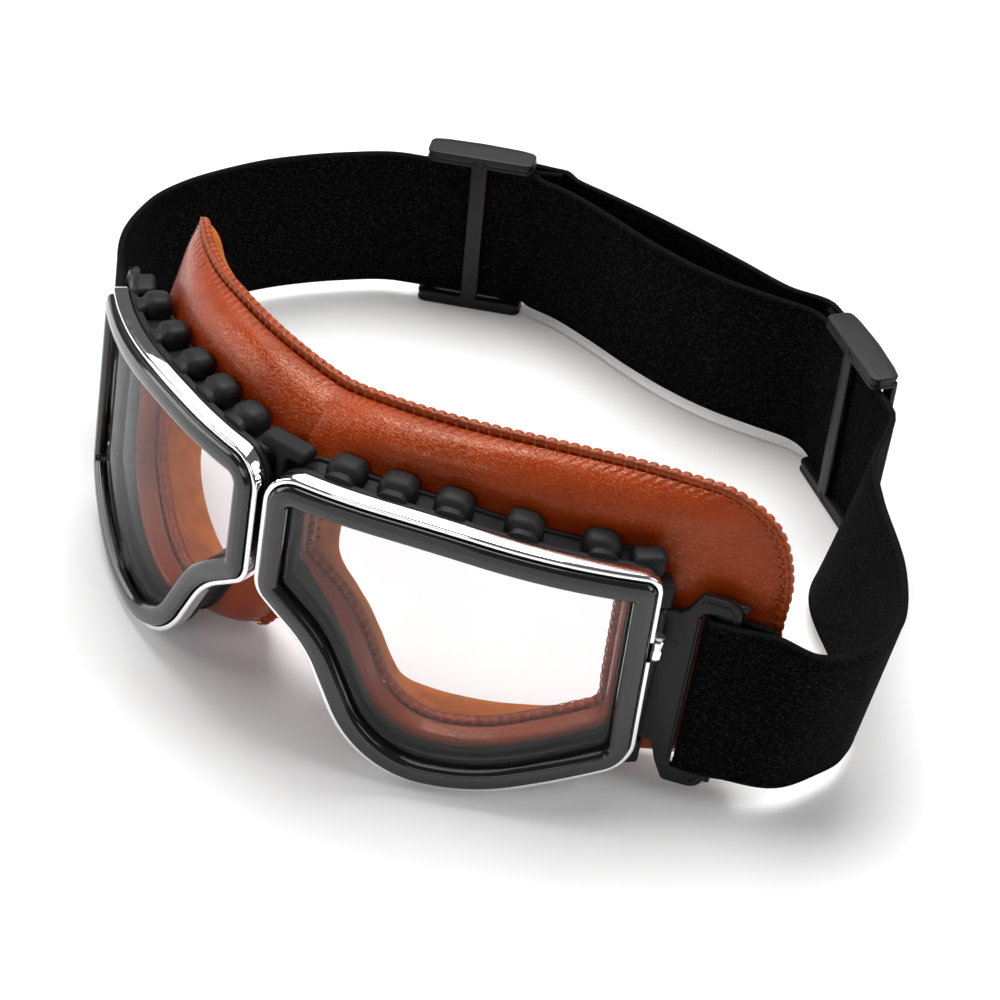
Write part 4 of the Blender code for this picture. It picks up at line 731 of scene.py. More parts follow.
# Clasps: a small plated barrel soldered to the rim's ends at each temple, drawn together by a slotted screw.
# The screws and the hinge pins are turned from plated steel.
CLASP_STAND_OFF = 0.0011
BARREL_BORE = 0.0010
BARREL_RADIUS = 0.0015
BARREL_SPLIT_RADIUS = 0.00142
BARREL_EDGE = 0.0002
STEEL_COLOUR = (0.55, 0.55, 0.56)

# Plated steel, brushed round its length.
steel = mottled(
    "plated_steel", STEEL_COLOUR, 0.3, 1.0, wear=Wear(Noise(1200.0, detail=3.0), None, least=0.18, more=0.2),
    grain=Grain(Noise(5000.0), depth=0.00002, strength=0.5))


def turned(profile, stand, steps=40):
    """A turned piece: its profile, as radius and height from the top down, carried round the stand's Z axis."""
    return lofted([[stand @ Vector((radius * math.cos(angle), radius * math.sin(angle), height))
                    for radius, height in profile]
                   for angle in (math.tau * step / steps for step in range(steps))], True)


def lean_stand(side, along, depth):
    """A stand on the lens front, its Z axis along the front's lean."""
    return Matrix.Translation(on_face(side, along, depth, 0.0)) @ Matrix.Rotation(-math.atan(LEAN_SHARE), 4, "X")


def make_clasp(side):
    along = at_temple(frame_outline(0.0), CLASP_HEIGHT).x + CLASP_STAND_OFF
    stand = lean_stand(side, along, RIM_DEPTH / 2) @ Matrix.Translation((0, 0, CLASP_HEIGHT))
    half = CLASP_LENGTH / 2
    upper = [(BARREL_BORE, half), (BARREL_RADIUS - BARREL_EDGE, half), (BARREL_RADIUS, half - BARREL_EDGE),
             (BARREL_RADIUS, 2 * BARREL_EDGE), (BARREL_SPLIT_RADIUS, BARREL_EDGE)]
    barrel = turned(upper + [(radius, -height) for radius, height in reversed(upper)], stand)
    fitted(f"{SIDES[side]}_plated_barrel", mesh_of("barrel", barrel), chrome, 40, "chrome", "goggles",
           f"{SIDES[side]}_clasp_barrel")


for side in SIDES:
    make_clasp(side)
    for piece_name in ("clasp_screw", "bracket_pin"):
        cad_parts[f"{SIDES[side]}_{piece_name}"].data.materials[0] = steel

# Nose bridge: a soft black rubber web between the two eyecups with a cap over it, moulded in one. It is the hinge
# on which the two frames bend to the face. The plain blocks of the solid are melted together and rounded.
WEB_COLOUR = (0.004, 0.004, 0.0045)
WEB_VOXEL = 0.0005
WEB_ROUNDING = 28
WEB_ROUNDING_FACTOR = 0.5

# Soft rubber without a bloom, in faintly darker and paler patches.
deep_rubber = mottled(
    "soft_web_rubber", WEB_COLOUR, 0.62,
    patches=Patches(Noise(90.0, 3.0, 0.6), None, (0.003, 0.003, 0.003), (0.008, 0.008, 0.009)),
    grain=Grain(Noise(2600.0, roughness=0.6), depth=0.00008, strength=0.6), **{"Specular IOR Level": 0.22})


def as_made(carrier):
    """The mesh that an object's modifiers or curve settings make. The object itself is removed."""
    bpy.context.view_layer.update()
    mesh = bpy.data.meshes.new_from_object(carrier.evaluated_get(bpy.context.evaluated_depsgraph_get()))
    bpy.data.objects.remove(carrier, do_unlink=True)
    return mesh


def make_web():
    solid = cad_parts["nose_bridge"]
    mesh = solid.data.copy()
    mesh.transform(solid.matrix_world)
    soft = linked("nose_web", mesh)
    melted = soft.modifiers.new("melted", "REMESH")
    melted.mode = "VOXEL"
    melted.voxel_size = WEB_VOXEL
    rounded = soft.modifiers.new("rounded", "SMOOTH")
    rounded.iterations = WEB_ROUNDING
    rounded.factor = WEB_ROUNDING_FACTOR
    fitted("soft_nose_web", as_made(soft), deep_rubber, 180, "black_rubber", "goggles", "nose_bridge")


make_web()

# Strap brackets: satin black moulded plates with an upright slot for the strap, each swinging on a steel pin between
# two lugs of its eyecup. A raised border follows the rounded shoulders, and a lip stiffens the slot.
BRACKET_THICKNESS = 0.0020
BRACKET_REACH = 0.0175
BRACKET_BAR = 0.0050
BRACKET_SLOT = 0.0042
BRACKET_LOW = 0.0030
BRACKET_TOP = 0.0526
BRACKET_SHOULDER = 0.0045
BRACKET_EAR_START = 0.0044
BRACKET_EAR_SLOPE = 0.0016
BRACKET_KNOB = 0.0022
KNUCKLE_RADIUS = 0.0022
KNUCKLE_EDGE = 0.0004
KNUCKLE_STEPS = 28
STRAP_WIDTH = 0.0400
BRACKET_ANGLES = {RIGHT: math.radians(22), LEFT: math.radians(38)}
BRACKET_MIDDLE = (BRACKET_LOW + BRACKET_TOP) / 2
BRACKET_CORNER = 0.0037
EAR_CORNER = 0.0010
EAR_SLOPE_CORNER = 0.0015
EAR_LOW_CORNER, EAR_TOP_CORNER = 0.0014, 0.0016
PLATE_EDGE = 0.00035
BLOCK_SEGMENTS = 3
SLOT_SHOWN_SHARE = 0.75
SLOT_CORNER = 0.0006
SLOT_CORNER_STEPS = 3
SLOT_LIP_PLACE = 0.0004
SLOT_LIP_RADIUS = 0.00042
SLOT_LIP_END = 0.0012
KNOB_SHOWN_SHARE = 0.45
KNOB_EDGE = 0.0005
BORDER_RADIUS = 0.00035
BORDER_INSET = 0.0013
BORDER_PLAY = 0.0006
BORDER_EAR_CORNER, BORDER_SLOPE_CORNER = 0.0010, 0.0012
BORDER_STEPS = 8
BORDER_START, BORDER_END = 10, 35
MARK_PLACE, MARK_HEIGHT = 0.0048, 0.0395
MARK_PROFILE = ((0.0, 0.0002), (0.00035, 0.0002), (0.0005, 0.0), (0.0005, -0.0004), (0.0, -0.0004))
MARK_STEPS = 16
WELD = 1e-6
FACING_FRONT = Matrix.Rotation(math.radians(90), 4, "X")
PLASTIC_COLOUR = (0.005, 0.005, 0.0055)

# Satin moulded plastic with a spark-eroded grain and rubbed patches.
rubbed = Noise(90.0, 4.0, 0.6, 0.6)
satin_black = mottled(
    "satin_black_plastic", PLASTIC_COLOUR, 0.4,
    patches=Patches(rubbed, (0.4, 0.7), PLASTIC_COLOUR, (0.010, 0.010, 0.0105)),
    wear=Wear(rubbed, (0.3, 0.8), least=0.30, more=0.16),
    grain=Grain(Noise(5200.0), depth=0.00003, strength=0.5), **{"Specular IOR Level": 0.26})


def rounded_outline(corners, steps=6):
    """A closed outline whose corners are each (x, y, radius)."""
    places = [Vector(corner[:2]) for corner in corners]
    points = []
    for index, (place, corner) in enumerate(zip(places, corners)):
        after = places[(index + 1) % len(places)]
        points.extend(corner_arc(places[index - 1], place, after, corner[2], steps))
    return points


def from_curve(dimensions, paths, closed, stand, **settings):
    """A solid that a curve's own settings make round its paths, placed by the stand."""
    curve = bpy.data.curves.new("curve", "CURVE")
    curve.dimensions = dimensions
    for name, value in settings.items():
        setattr(curve, name, value)
    for path in paths:
        spline = curve.splines.new("POLY")
        spline.points.add(len(path) - 1)
        for point, place in zip(spline.points, path):
            point.co = (*Vector(place).to_3d(), 1.0)
        spline.use_cyclic_u = closed
    mesh = as_made(linked("curve", curve))
    shape = bmesh.new()
    shape.from_mesh(mesh)
    bpy.data.meshes.remove(mesh)
    bmesh.ops.remove_doubles(shape, verts=shape.verts, dist=WELD)
    bmesh.ops.transform(shape, matrix=stand, verts=shape.verts)
    bmesh.ops.recalc_face_normals(shape, faces=shape.faces)
    return shape


def flat_plate(outlines, thickness, edge, stand):
    """A plate from a flat outline and its holes, thickened about its middle, with rounded edges."""
    return from_curve("2D", outlines, True, stand, fill_mode="BOTH", extrude=thickness / 2 - edge, bevel_depth=edge,
                      bevel_resolution=2, offset=-edge)


def bead(path, radius, stand):
    """A round bead along a path."""
    return from_curve("3D", [path], False, stand, bevel_depth=radius, bevel_resolution=3, use_fill_caps=True)


stands = {}


def make_bracket(side):
    ear = BRACKET_REACH - BRACKET_BAR - BRACKET_SLOT
    slope_end = BRACKET_EAR_START + BRACKET_EAR_SLOPE
    low_edge = BRACKET_LOW + BRACKET_SHOULDER
    top_edge = BRACKET_TOP - BRACKET_SHOULDER
    corners = (
        (0.0, KNUCKLE_LOW, KNUCKLE_EDGE),
        (BRACKET_EAR_START, KNUCKLE_LOW, EAR_CORNER),
        (slope_end, low_edge, EAR_SLOPE_CORNER),
        (ear, BRACKET_LOW, EAR_LOW_CORNER),
        (BRACKET_REACH, BRACKET_LOW, BRACKET_CORNER),
        (BRACKET_REACH, BRACKET_TOP, BRACKET_CORNER),
        (ear, BRACKET_TOP, EAR_TOP_CORNER),
        (slope_end, top_edge, EAR_SLOPE_CORNER),
        (BRACKET_EAR_START, KNUCKLE_TOP, EAR_CORNER),
        (0.0, KNUCKLE_TOP, KNUCKLE_EDGE),
    )
    stand = lean_stand(side, PIN_PLACE, PIN_DEPTH) @ Matrix.Rotation(side * BRACKET_ANGLES[side], 4, "Z")
    stands[side] = stand
    half = STRAP_WIDTH / 2 + 2 * FIT_GAP
    slot_low, slot_top = BRACKET_MIDDLE - half, BRACKET_MIDDLE + half
    slot_end = BRACKET_REACH - BRACKET_BAR
    slot_start = slot_end - BRACKET_SLOT * SLOT_SHOWN_SHARE
    slot = rounded_outline([(slot_start, slot_low, SLOT_CORNER), (slot_end, slot_low, SLOT_CORNER),
                            (slot_end, slot_top, SLOT_CORNER), (slot_start, slot_top, SLOT_CORNER)],
                           SLOT_CORNER_STEPS)
    shapes = [flat_plate((rounded_outline(corners), slot), BRACKET_THICKNESS, PLATE_EDGE,
                         stand @ FACING_FRONT @ Matrix.Diagonal((side, 1, 1, 1)))]
    face = -BRACKET_THICKNESS / 2
    border_end, border_corner = BRACKET_REACH - BORDER_INSET, BRACKET_CORNER - BORDER_INSET
    border = rounded_outline([
        (ear + BORDER_PLAY, BRACKET_LOW + BORDER_INSET, BORDER_EAR_CORNER),
        (border_end, BRACKET_LOW + BORDER_INSET, border_corner),
        (border_end, BRACKET_TOP - BORDER_INSET, border_corner),
        (ear + BORDER_PLAY, BRACKET_TOP - BORDER_INSET, BORDER_EAR_CORNER),
        (slope_end + BORDER_INSET, top_edge - BORDER_PLAY, BORDER_SLOPE_CORNER),
        (slope_end + BORDER_INSET, low_edge + BORDER_PLAY, BORDER_SLOPE_CORNER),
    ], BORDER_STEPS)
    border = [(side * point.x, face, point.y) for point in border]
    shapes.append(bead(border[BORDER_START:BORDER_END], BORDER_RADIUS, stand))
    lip = side * (slot_start - SLOT_LIP_PLACE)
    shapes.append(bead([(lip, face, slot_low + SLOT_LIP_END), (lip, face, slot_top - SLOT_LIP_END)],
                       SLOT_LIP_RADIUS, stand))
    knuckle_face = KNUCKLE_RADIUS - KNUCKLE_EDGE
    knuckle = [(0.0, KNUCKLE_TOP), (knuckle_face, KNUCKLE_TOP), (KNUCKLE_RADIUS, KNUCKLE_TOP - KNUCKLE_EDGE),
               (KNUCKLE_RADIUS, KNUCKLE_LOW + KNUCKLE_EDGE), (knuckle_face, KNUCKLE_LOW), (0.0, KNUCKLE_LOW)]
    shapes.append(turned(knuckle, stand, KNUCKLE_STEPS))
    knob_reach = sorted((side * (BRACKET_REACH - BRACKET_KNOB), side * (BRACKET_REACH + BRACKET_KNOB / 2)))
    knob_depth = (BRACKET_THICKNESS / 4, BRACKET_THICKNESS / 2 + BRACKET_KNOB * KNOB_SHOWN_SHARE)
    for height in (BRACKET_LOW + BRACKET_KNOB, BRACKET_TOP - BRACKET_KNOB):
        knob = (knob_reach, knob_depth, (height - BRACKET_KNOB / 2, height + BRACKET_KNOB / 2))
        shapes.append(block(knob, KNOB_EDGE, BLOCK_SEGMENTS, lambda point: stand @ point))
    mark_place = Matrix.Translation((side * MARK_PLACE, face, MARK_HEIGHT))
    shapes.append(turned(MARK_PROFILE, stand @ mark_place @ FACING_FRONT, MARK_STEPS))
    fitted(f"{SIDES[side]}_bracket_plate", mesh_of("bracket", *shapes), satin_black, 35, "black_plastic",
           f"{SIDES[side]}_bracket", f"{SIDES[side]}_strap_bracket")


for side in SIDES:
    make_bracket(side)

# Face cushion: a smooth tan leather skin over foam, with a napped suede face side. The leather is folded into each
# eyecup as a collar, and both skins meet in edges that are whip-stitched all round.
TOP_STEPS, END_STEPS, LOW_STEPS, SLOPE_STEPS = 9, 5, 8, 6
FIRST_NOSE = TOP_STEPS + END_STEPS + LOW_STEPS + SLOPE_STEPS
PAD_NOSE_DEPTH = 0.0255
PAD_NOSE_ARC = (0.0520, math.radians(32))
PAD_END_ARCS = {RIGHT: (0.0520, math.radians(-18)), LEFT: (0.0480, math.radians(30))}
LEFT_LENGTH_SHARE = 0.865
PAD_TOP = 0.0762
PAD_TOP_MIDDLE = 0.0745
PAD_BROW_RISE = 0.0004
PAD_BROW_PLACE = 0.0400
PAD_END_PLACE = 0.1015
PAD_END_TOP = 0.0700
PAD_END_LOW = 0.0070
PAD_BOTTOM = 0.0026
PAD_END_TOP_RADIUS = 0.0190
PAD_END_LOW_RADIUS = 0.0150
PAD_LOBE_PLACE = 0.0180
PAD_LOBE_RADIUS = 0.0090
PAD_ARCH_PLACE = 0.0070
PAD_ARCH_HEIGHT = 0.0190
PAD_ARCH_TOP = 0.0270
PAD_ARCH_RADIUS = 0.0060
CHEEK_PLACE = 0.056
END_ARC_STEPS = 6
ARCH_ARC_STEPS = 3
HEM_THICKNESS = 0.0028
EYE_HEM_INSETS = (0.0072, 0.0072, 0.0058, 0.0076, 0.0076, 0.0078, 0.0066, 0.0056)
EYE_HEM_DEPTH = 0.0128
COLLAR_FRONT = 0.0078
COLLAR_INSET = 0.0047
COLLAR_TIP_INSET = 0.0051
COLLAR_TIP_SET_BACK = 0.0004
PAD_SEAT_DEPTH = 0.0129
PAD_SEAT_INSET = 0.0020
PAD_CROWN = 0.0046
PAD_BACK_CROWN = 0.0050
PAD_NOSE_CROWN = 0.0113
END_CROWN_SHARE = 0.02
LOW_CROWN_SHARE = 0.30
REAR_SHARES = (0.0, 0.22, 0.50, 0.75, 0.90, 1.0)
REAR_SWELLS = (0.0, 0.35, 0.85, 0.90, 0.50, 0.0)
FLANK_SHARES = (0.42, 0.80)
LOW_FLANK_SHARE = 0.8
NOSE_SWELL_POWER = 0.6
NOSE_REAR_LIFT = 0.0017
BROW_SWELL_POWER = 3
NOSE_EYE_SHARES = (0.0, 0.14, 0.33, 0.55, 0.78, 0.90, 0.96)
NOSE_HEIGHT_SHARES = (0.0, 0.15, 0.36, 0.58, 0.80, 0.93, 1.0)
NOSE_FORWARD_SHARES = (0.0, 0.44, 0.80, 0.96)
SKIN_THICKNESS = 0.0009
STATION_STEPS = 4
FLANK_STEPS = 5
REAR_STEPS = 3
STITCH = 0.0024
COLLAR_STEPS = 3
COLLAR_COLUMNS = 3 * COLLAR_STEPS
BROW_ROWS = 8
MIDDLE_PLAY = 0.000004
MIDDLE_SMOOTHINGS = ((0.016, 8), (0.012, 14), (0.008, 14))
SIMULATION_SCALE = 10.0
PRESSURE = 4.0
MOST_SWELL = 0.0012
SIMULATION_FRAMES = 20
CLOTH = {"quality": 5, "mass": 0.4, "tension_stiffness": 12.0, "compression_stiffness": 12.0, "shear_stiffness": 6.0,
         "bending_stiffness": 6.0}
MATCH_DIGITS = 5
NOSE_AWAY = 0.02
SMOOTHING = 0.5
CALM_START = 0.062
CALM_LENGTH = 0.020
CALM_SHARE = 0.95
LEATHER_COLOUR = (0.40, 0.044, 0.0006)
LEATHER_DARK = (0.22, 0.021, 0.0004)
LEATHER_GLOSS = (1.0, 0.66, 0.46, 1.0)
SUEDE_COLOUR = (0.52, 0.118, 0.008)
SUEDE_DARK = (0.27, 0.045, 0.003)
SUEDE_SHEEN = (1.0, 0.55, 0.25, 1.0)
SUEDE_PALE = (0.64, 0.17, 0.012)
LEATHER_WRINKLES, WRINKLE_WIDTH = Noise(1500.0, 2.0, 0.55, 0.7), 0.10
WRINKLE_DRAW, WRINKLE_TURN = (0.5, 1.0, 1.0), (0.3, 0.2, 0.1)
END_CREASES, CREASE_WIDTH = Noise(430.0, 3.0, 0.6, 1.0), 0.05
LEATHER_PORES = Noise(3400.0, roughness=0.6)
LEATHER_SWELLS = Noise(150.0)
LEATHER_CLOUDS = Noise(42.0, 3.0, 0.6)
LEATHER_RELIEF = {"wrinkles": 0.55, "pores": 0.15, "swells": 0.5, "creases": 0.9}
NOISE_MIDDLE = 0.5
CLOUD_SPAN = (0.25, 0.75)
CREASE_SCALE, CREASE_SPAN = 10.0, (0.80, 0.98)
PUCKER_SCALE, PUCKER_SPAN = 220.0, (0.05, 1.0)
# Painted shade beside the outer seam: how far the leather there is darkened.
SEAM_PAINTED_SHADE = 0.5
# Painted shade in the wrinkle lines: the share of the leather's tone kept in them, and how much more beside them.
WRINKLE_UNSHADED, WRINKLE_UNSHADED_MORE = 0.84, 0.16
LEATHER_DULL, LEATHER_DULL_MORE = 0.10, 0.16
LEATHER_BUMP = (0.00013, 0.7)
SUEDE_NAP, NAP_SPAN = Noise(160.0, 4.0, 0.65, 0.5), (0.35, 0.65)
SUEDE_FUZZ, FUZZ_SPAN = Noise(3200.0, 3.0, 0.7), (0.3, 0.7)
FUZZ_SHARE = 0.5
NAP_RELIEF = 0.5
SUEDE_BUMP = (0.0003, 0.7)


def on_pad(side, along, height, back):
    """A point of the outer seam's surface, moved back from it towards the face."""
    x, y, heading = 0.0, PAD_NOSE_DEPTH, 0.0
    ahead = along if side == RIGHT else along * LEFT_LENGTH_SHARE
    (first, first_turn), (second, second_turn) = PAD_NOSE_ARC, PAD_END_ARCS[side]
    for length, rate in ((min(ahead, first), first_turn / first), (max(ahead - first, 0.0), second_turn / second)):
        end = heading + rate * length
        x += (math.sin(end) - math.sin(heading)) / rate
        y += (math.cos(heading) - math.cos(end)) / rate
        heading = end
    x -= back * math.sin(heading)
    y += back * math.cos(heading)
    return Vector((side * x, y + LEAN_SHARE * height, height)) + SHIFT


def at_share(points, share):
    lengths = [(two - one).length for one, two in zip(points, points[1:])]
    left_over = share * sum(lengths)
    for index, length in enumerate(lengths):
        if left_over <= length:
            return points[index].lerp(points[index + 1], left_over / length)
        left_over -= length
    return points[-1].copy()


def eye_stations(inset):
    """Stations round the eye opening, starting at the nose side's top corner."""
    middles, flat = [], []
    for run, steps in zip(frame_outline(inset), OUTLINE_STEPS):
        middles.append(len(flat) + steps[0] // 2)
        flat.extend(run)
    marks = [middles[corner] for corner in (NOSE_TOP, TEMPLE_TOP, TEMPLE_LOW, CHIN, NOSE_LOW)]
    even = [[step / steps for step in range(steps)] for steps in (TOP_STEPS, END_STEPS, LOW_STEPS, SLOPE_STEPS)]
    stations = []
    for number, shares in enumerate(even + [NOSE_EYE_SHARES]):
        first, last = marks[number], marks[(number + 1) % len(marks)]
        part = flat[first:last + 1] if last > first else flat[first:] + flat[:last + 1]
        stations.extend(at_share(part, share) for share in shares)
    return stations


def hem_stations():
    """Stations along the outer seam, from the middle of the brow round to the top of the nose arch."""
    end_top, end_low = Vector((PAD_END_PLACE, PAD_END_TOP)), Vector((PAD_END_PLACE, PAD_END_LOW))
    brow, cheek = Vector((PAD_BROW_PLACE, PAD_TOP)), Vector((CHEEK_PLACE, PAD_BOTTOM))
    lobe, arch = Vector((PAD_LOBE_PLACE, PAD_BOTTOM)), Vector((PAD_ARCH_PLACE, PAD_ARCH_HEIGHT))
    top_arc = corner_arc(brow, end_top, end_low, PAD_END_TOP_RADIUS, END_ARC_STEPS)
    low_arc = corner_arc(end_top, end_low, cheek, PAD_END_LOW_RADIUS, END_ARC_STEPS)
    lobe_arc = corner_arc(cheek, lobe, arch, PAD_LOBE_RADIUS, END_ARC_STEPS)
    summit, start = Vector((0.0, PAD_ARCH_TOP)), Vector((0.0, PAD_TOP_MIDDLE))
    arch_arc = corner_arc(lobe, arch, summit, PAD_ARCH_RADIUS, ARCH_ARC_STEPS)
    half = END_ARC_STEPS // 2
    halfway = start.lerp(brow, 0.5) + Vector((0.0, PAD_BROW_RISE))
    parts = (
        ([start, halfway, brow] + top_arc[:half + 1], TOP_STEPS),
        (top_arc[half:] + low_arc[:half + 1], END_STEPS),
        (low_arc[half:] + [cheek] + lobe_arc[:half + 1], LOW_STEPS),
        (lobe_arc[half:] + arch_arc + [summit], SLOPE_STEPS),
    )
    stations = [at_share(points, step / steps) for points, steps in parts for step in range(steps)]
    return stations + [summit]


def crown_share(station):
    """How far the outer flank bulges: most along the brow, least at the temple ends."""
    if station <= TOP_STEPS:
        return 1 + (END_CROWN_SHARE - 1) * (station / TOP_STEPS) ** 2
    share = min(1.0, (station - TOP_STEPS) / END_STEPS)
    return END_CROWN_SHARE + (LOW_CROWN_SHARE - END_CROWN_SHARE) * share ** 2


def middle_place(number, brow):
    free = len(NOSE_FORWARD_SHARES)
    if number >= free:
        return Vector((SHIFT.x, brow[number - free].y, brow[number - free].z))
    height = PAD_ARCH_TOP + (PAD_TOP_MIDDLE - PAD_ARCH_TOP) * NOSE_HEIGHT_SHARES[number]
    return on_pad(RIGHT, 0.0, height, -PAD_NOSE_CROWN * NOSE_FORWARD_SHARES[number])


def nose_lines(number, flange, eye_rear, brow):
    """Outer flank and rear line of one station beside the nose; both end in the middle plane."""
    end = middle_place(number, brow)
    way = [flange, end]
    if number == len(NOSE_HEIGHT_SHARES) - 1:
        way.insert(1, Vector(((brow[1].x + SHIFT.x) / 2, brow[1].y, brow[1].z)))
    flank = [at_share(way, share) for share in FLANK_SHARES] + [end]
    height = PAD_ARCH_TOP + (PAD_TOP_MIDDLE - PAD_ARCH_TOP) * NOSE_HEIGHT_SHARES[number]
    swell = PAD_BACK_CROWN * math.sin(math.pi * NOSE_HEIGHT_SHARES[number]) ** NOSE_SWELL_POWER
    rear_end = on_pad(RIGHT, 0.0, height, HEM_THICKNESS + swell)
    nearness = NOSE_HEIGHT_SHARES[number] ** BROW_SWELL_POWER
    rear = []
    for share, brow_swell in zip(REAR_SHARES, REAR_SWELLS):
        nose_lift = NOSE_REAR_LIFT * math.sin(math.pi * share)
        lift = nose_lift + (PAD_BACK_CROWN * brow_swell - nose_lift) * nearness
        rear.append(eye_rear.lerp(rear_end, share) + Vector((0.0, lift, 0.0)))
    return flank, rear


def cushion_lines(side):
    """For each station round the eye, the front line and the rear line from the eye seam to the outer seam."""
    eye = eye_stations(EYE_HEM_INSETS)
    tip_in = eye_stations(tuple(inset - COLLAR_TIP_SET_BACK for inset in EYE_HEM_INSETS))
    tip_out, base, seat = (eye_stations(inset) for inset in (COLLAR_TIP_INSET, COLLAR_INSET, PAD_SEAT_INSET))
    hems = hem_stations()
    lines, brow = [], []
    for station, place in enumerate(eye):
        eye_front = on_face(side, place.x, EYE_HEM_DEPTH, place.y)
        eye_rear = on_face(side, place.x, EYE_HEM_DEPTH + HEM_THICKNESS, place.y)
        collar = [on_face(side, line[station].x, depth, line[station].y)
                  for line, depth in ((tip_in, COLLAR_FRONT), (tip_out, COLLAR_FRONT), (base, PAD_SEAT_DEPTH),
                                      (seat, PAD_SEAT_DEPTH))]
        flange = collar[-1]
        if station < len(hems):
            hem = hems[station]
            out_front = on_pad(side, hem.x, hem.y, 0.0)
            out_rear = on_pad(side, hem.x, hem.y, HEM_THICKNESS)
            reach = out_front - flange
            forward = on_face(side, seat[station].x, 0.0, seat[station].y) - flange
            away = forward.normalized() + (flange - eye_front).normalized()
            bulge = away - reach * away.dot(reach) / reach.length_squared
            bulge = bulge.normalized() * PAD_CROWN * crown_share(station)
            high, low = (flange.lerp(out_front, share) for share in FLANK_SHARES)
            flank = [high + bulge, low + bulge * LOW_FLANK_SHARE, out_front]
            backward = on_pad(side, hem.x, hem.y, HEM_THICKNESS + PAD_BACK_CROWN) - out_rear
            rear = [eye_rear.lerp(out_rear, share) + backward * swell
                    for share, swell in zip(REAR_SHARES, REAR_SWELLS)]
            if station == 0:
                brow = [flange] + flank[:2]
        else:
            flank, rear = nose_lines(station - FIRST_NOSE, flange, eye_rear, brow)
        lines.append(([eye_front] + collar + flank, rear))
    return lines


def eased(one, two, leaving, arriving, share):
    """A place on the smooth line from one point to the next that leaves and arrives with the given slopes."""
    return (one.lerp(two, 3 * share ** 2 - 2 * share ** 3) + leaving * (share ** 3 - 2 * share ** 2 + share)
            + arriving * (share ** 3 - share ** 2))


def through(points, steps, before=None, after=None):
    """A smooth line through all points. The places before and after it set its end directions."""
    first = before or points[0] * 2 - points[1]
    last = after or points[-1] * 2 - points[-2]
    full = [first] + list(points) + [last]
    gaps = [max((two - one).length, 1e-6) for one, two in zip(full, full[1:])]
    slopes = []
    for index in range(1, len(full) - 1):
        one, two = gaps[index - 1], gaps[index]
        slopes.append(((full[index] - full[index - 1]) / one * two + (full[index + 1] - full[index]) / two * one)
                      / (one + two))
    line = []
    for index, (one, two) in enumerate(zip(points, points[1:])):
        gap = (two - one).length
        line.extend(eased(one, two, slopes[index] * gap, slopes[index + 1] * gap, step / steps)
                    for step in range(steps))
    return line + [points[-1].copy()]


def fine_lines():
    """The cushion's lines with more stations, for each side, and which of them lie beside the nose."""
    coarse = {side: cushion_lines(side) for side in SIDES}
    fine = {}
    for side in SIDES:
        own, other = coarse[side], coarse[-side]
        halves = []
        for half in (0, 1):
            columns = []
            count = len(own[0][half])
            for column in range(count):
                outer_share = max(0.0, column / (count - 1) * 2 - 1)
                line = [station[half][column] for station in own] + [own[0][half][column]]
                before = line[-2].lerp(other[1][half][column], outer_share)
                after = line[FIRST_NOSE + 1].lerp(other[FIRST_NOSE - 1][half][column], outer_share)
                hem_run = through(line[:FIRST_NOSE + 1], STATION_STEPS, before, after)
                mirrored = line[FIRST_NOSE] * 2 - line[FIRST_NOSE + 1]
                before = line[FIRST_NOSE - 1].lerp(mirrored, outer_share)
                mirrored = line[-1] * 2 - line[-2]
                after = line[1].lerp(mirrored, outer_share)
                nose_run = through(line[FIRST_NOSE:], STATION_STEPS, before, after)
                columns.append(hem_run + nose_run[1:-1])
            halves.append(list(zip(*columns)))
        fine[side] = halves
    return fine


def fanned_to_middle(row):
    """Keeps a row beside the brow's middle on its own side, its distance from the middle falling evenly."""
    first, last = COLLAR_COLUMNS, len(row) - 1
    for column in range(first + 1, last):
        left_over = (last - column) / (last - first)
        row[column].x = SHIFT.x + (row[first].x - SHIFT.x) * left_over


def cushion_grid():
    """Front and rear point grids of each side, with a row from the eye seam to the outer seam at each station."""
    fine = fine_lines()
    grids = {}
    for side in SIDES:
        front_rows, rear_rows = [], []
        for station, (front, rear) in enumerate(zip(*fine[side])):
            beside_nose = station > FIRST_NOSE * STATION_STEPS
            partner = fine[-side]
            after_front = partner[0][station][-2] if beside_nose else None
            after_rear = partner[1][station][-2] if beside_nose else None
            collar = [front[0].lerp(front[1], step / COLLAR_STEPS) for step in range(COLLAR_STEPS)]
            collar += [front[1], front[2]]
            collar += [front[2].lerp(front[3], step / COLLAR_STEPS) for step in range(1, COLLAR_STEPS + 1)]
            collar.append(front[3].lerp(front[4], 0.5))
            front_rows.append(collar + through(front[4:], FLANK_STEPS, None, after_front))
            rear_rows.append(through(rear, REAR_STEPS, None, after_rear))
        for row in front_rows[-BROW_ROWS:] + front_rows[:1]:
            fanned_to_middle(row)
        grids[side] = (front_rows, rear_rows)
    return grids


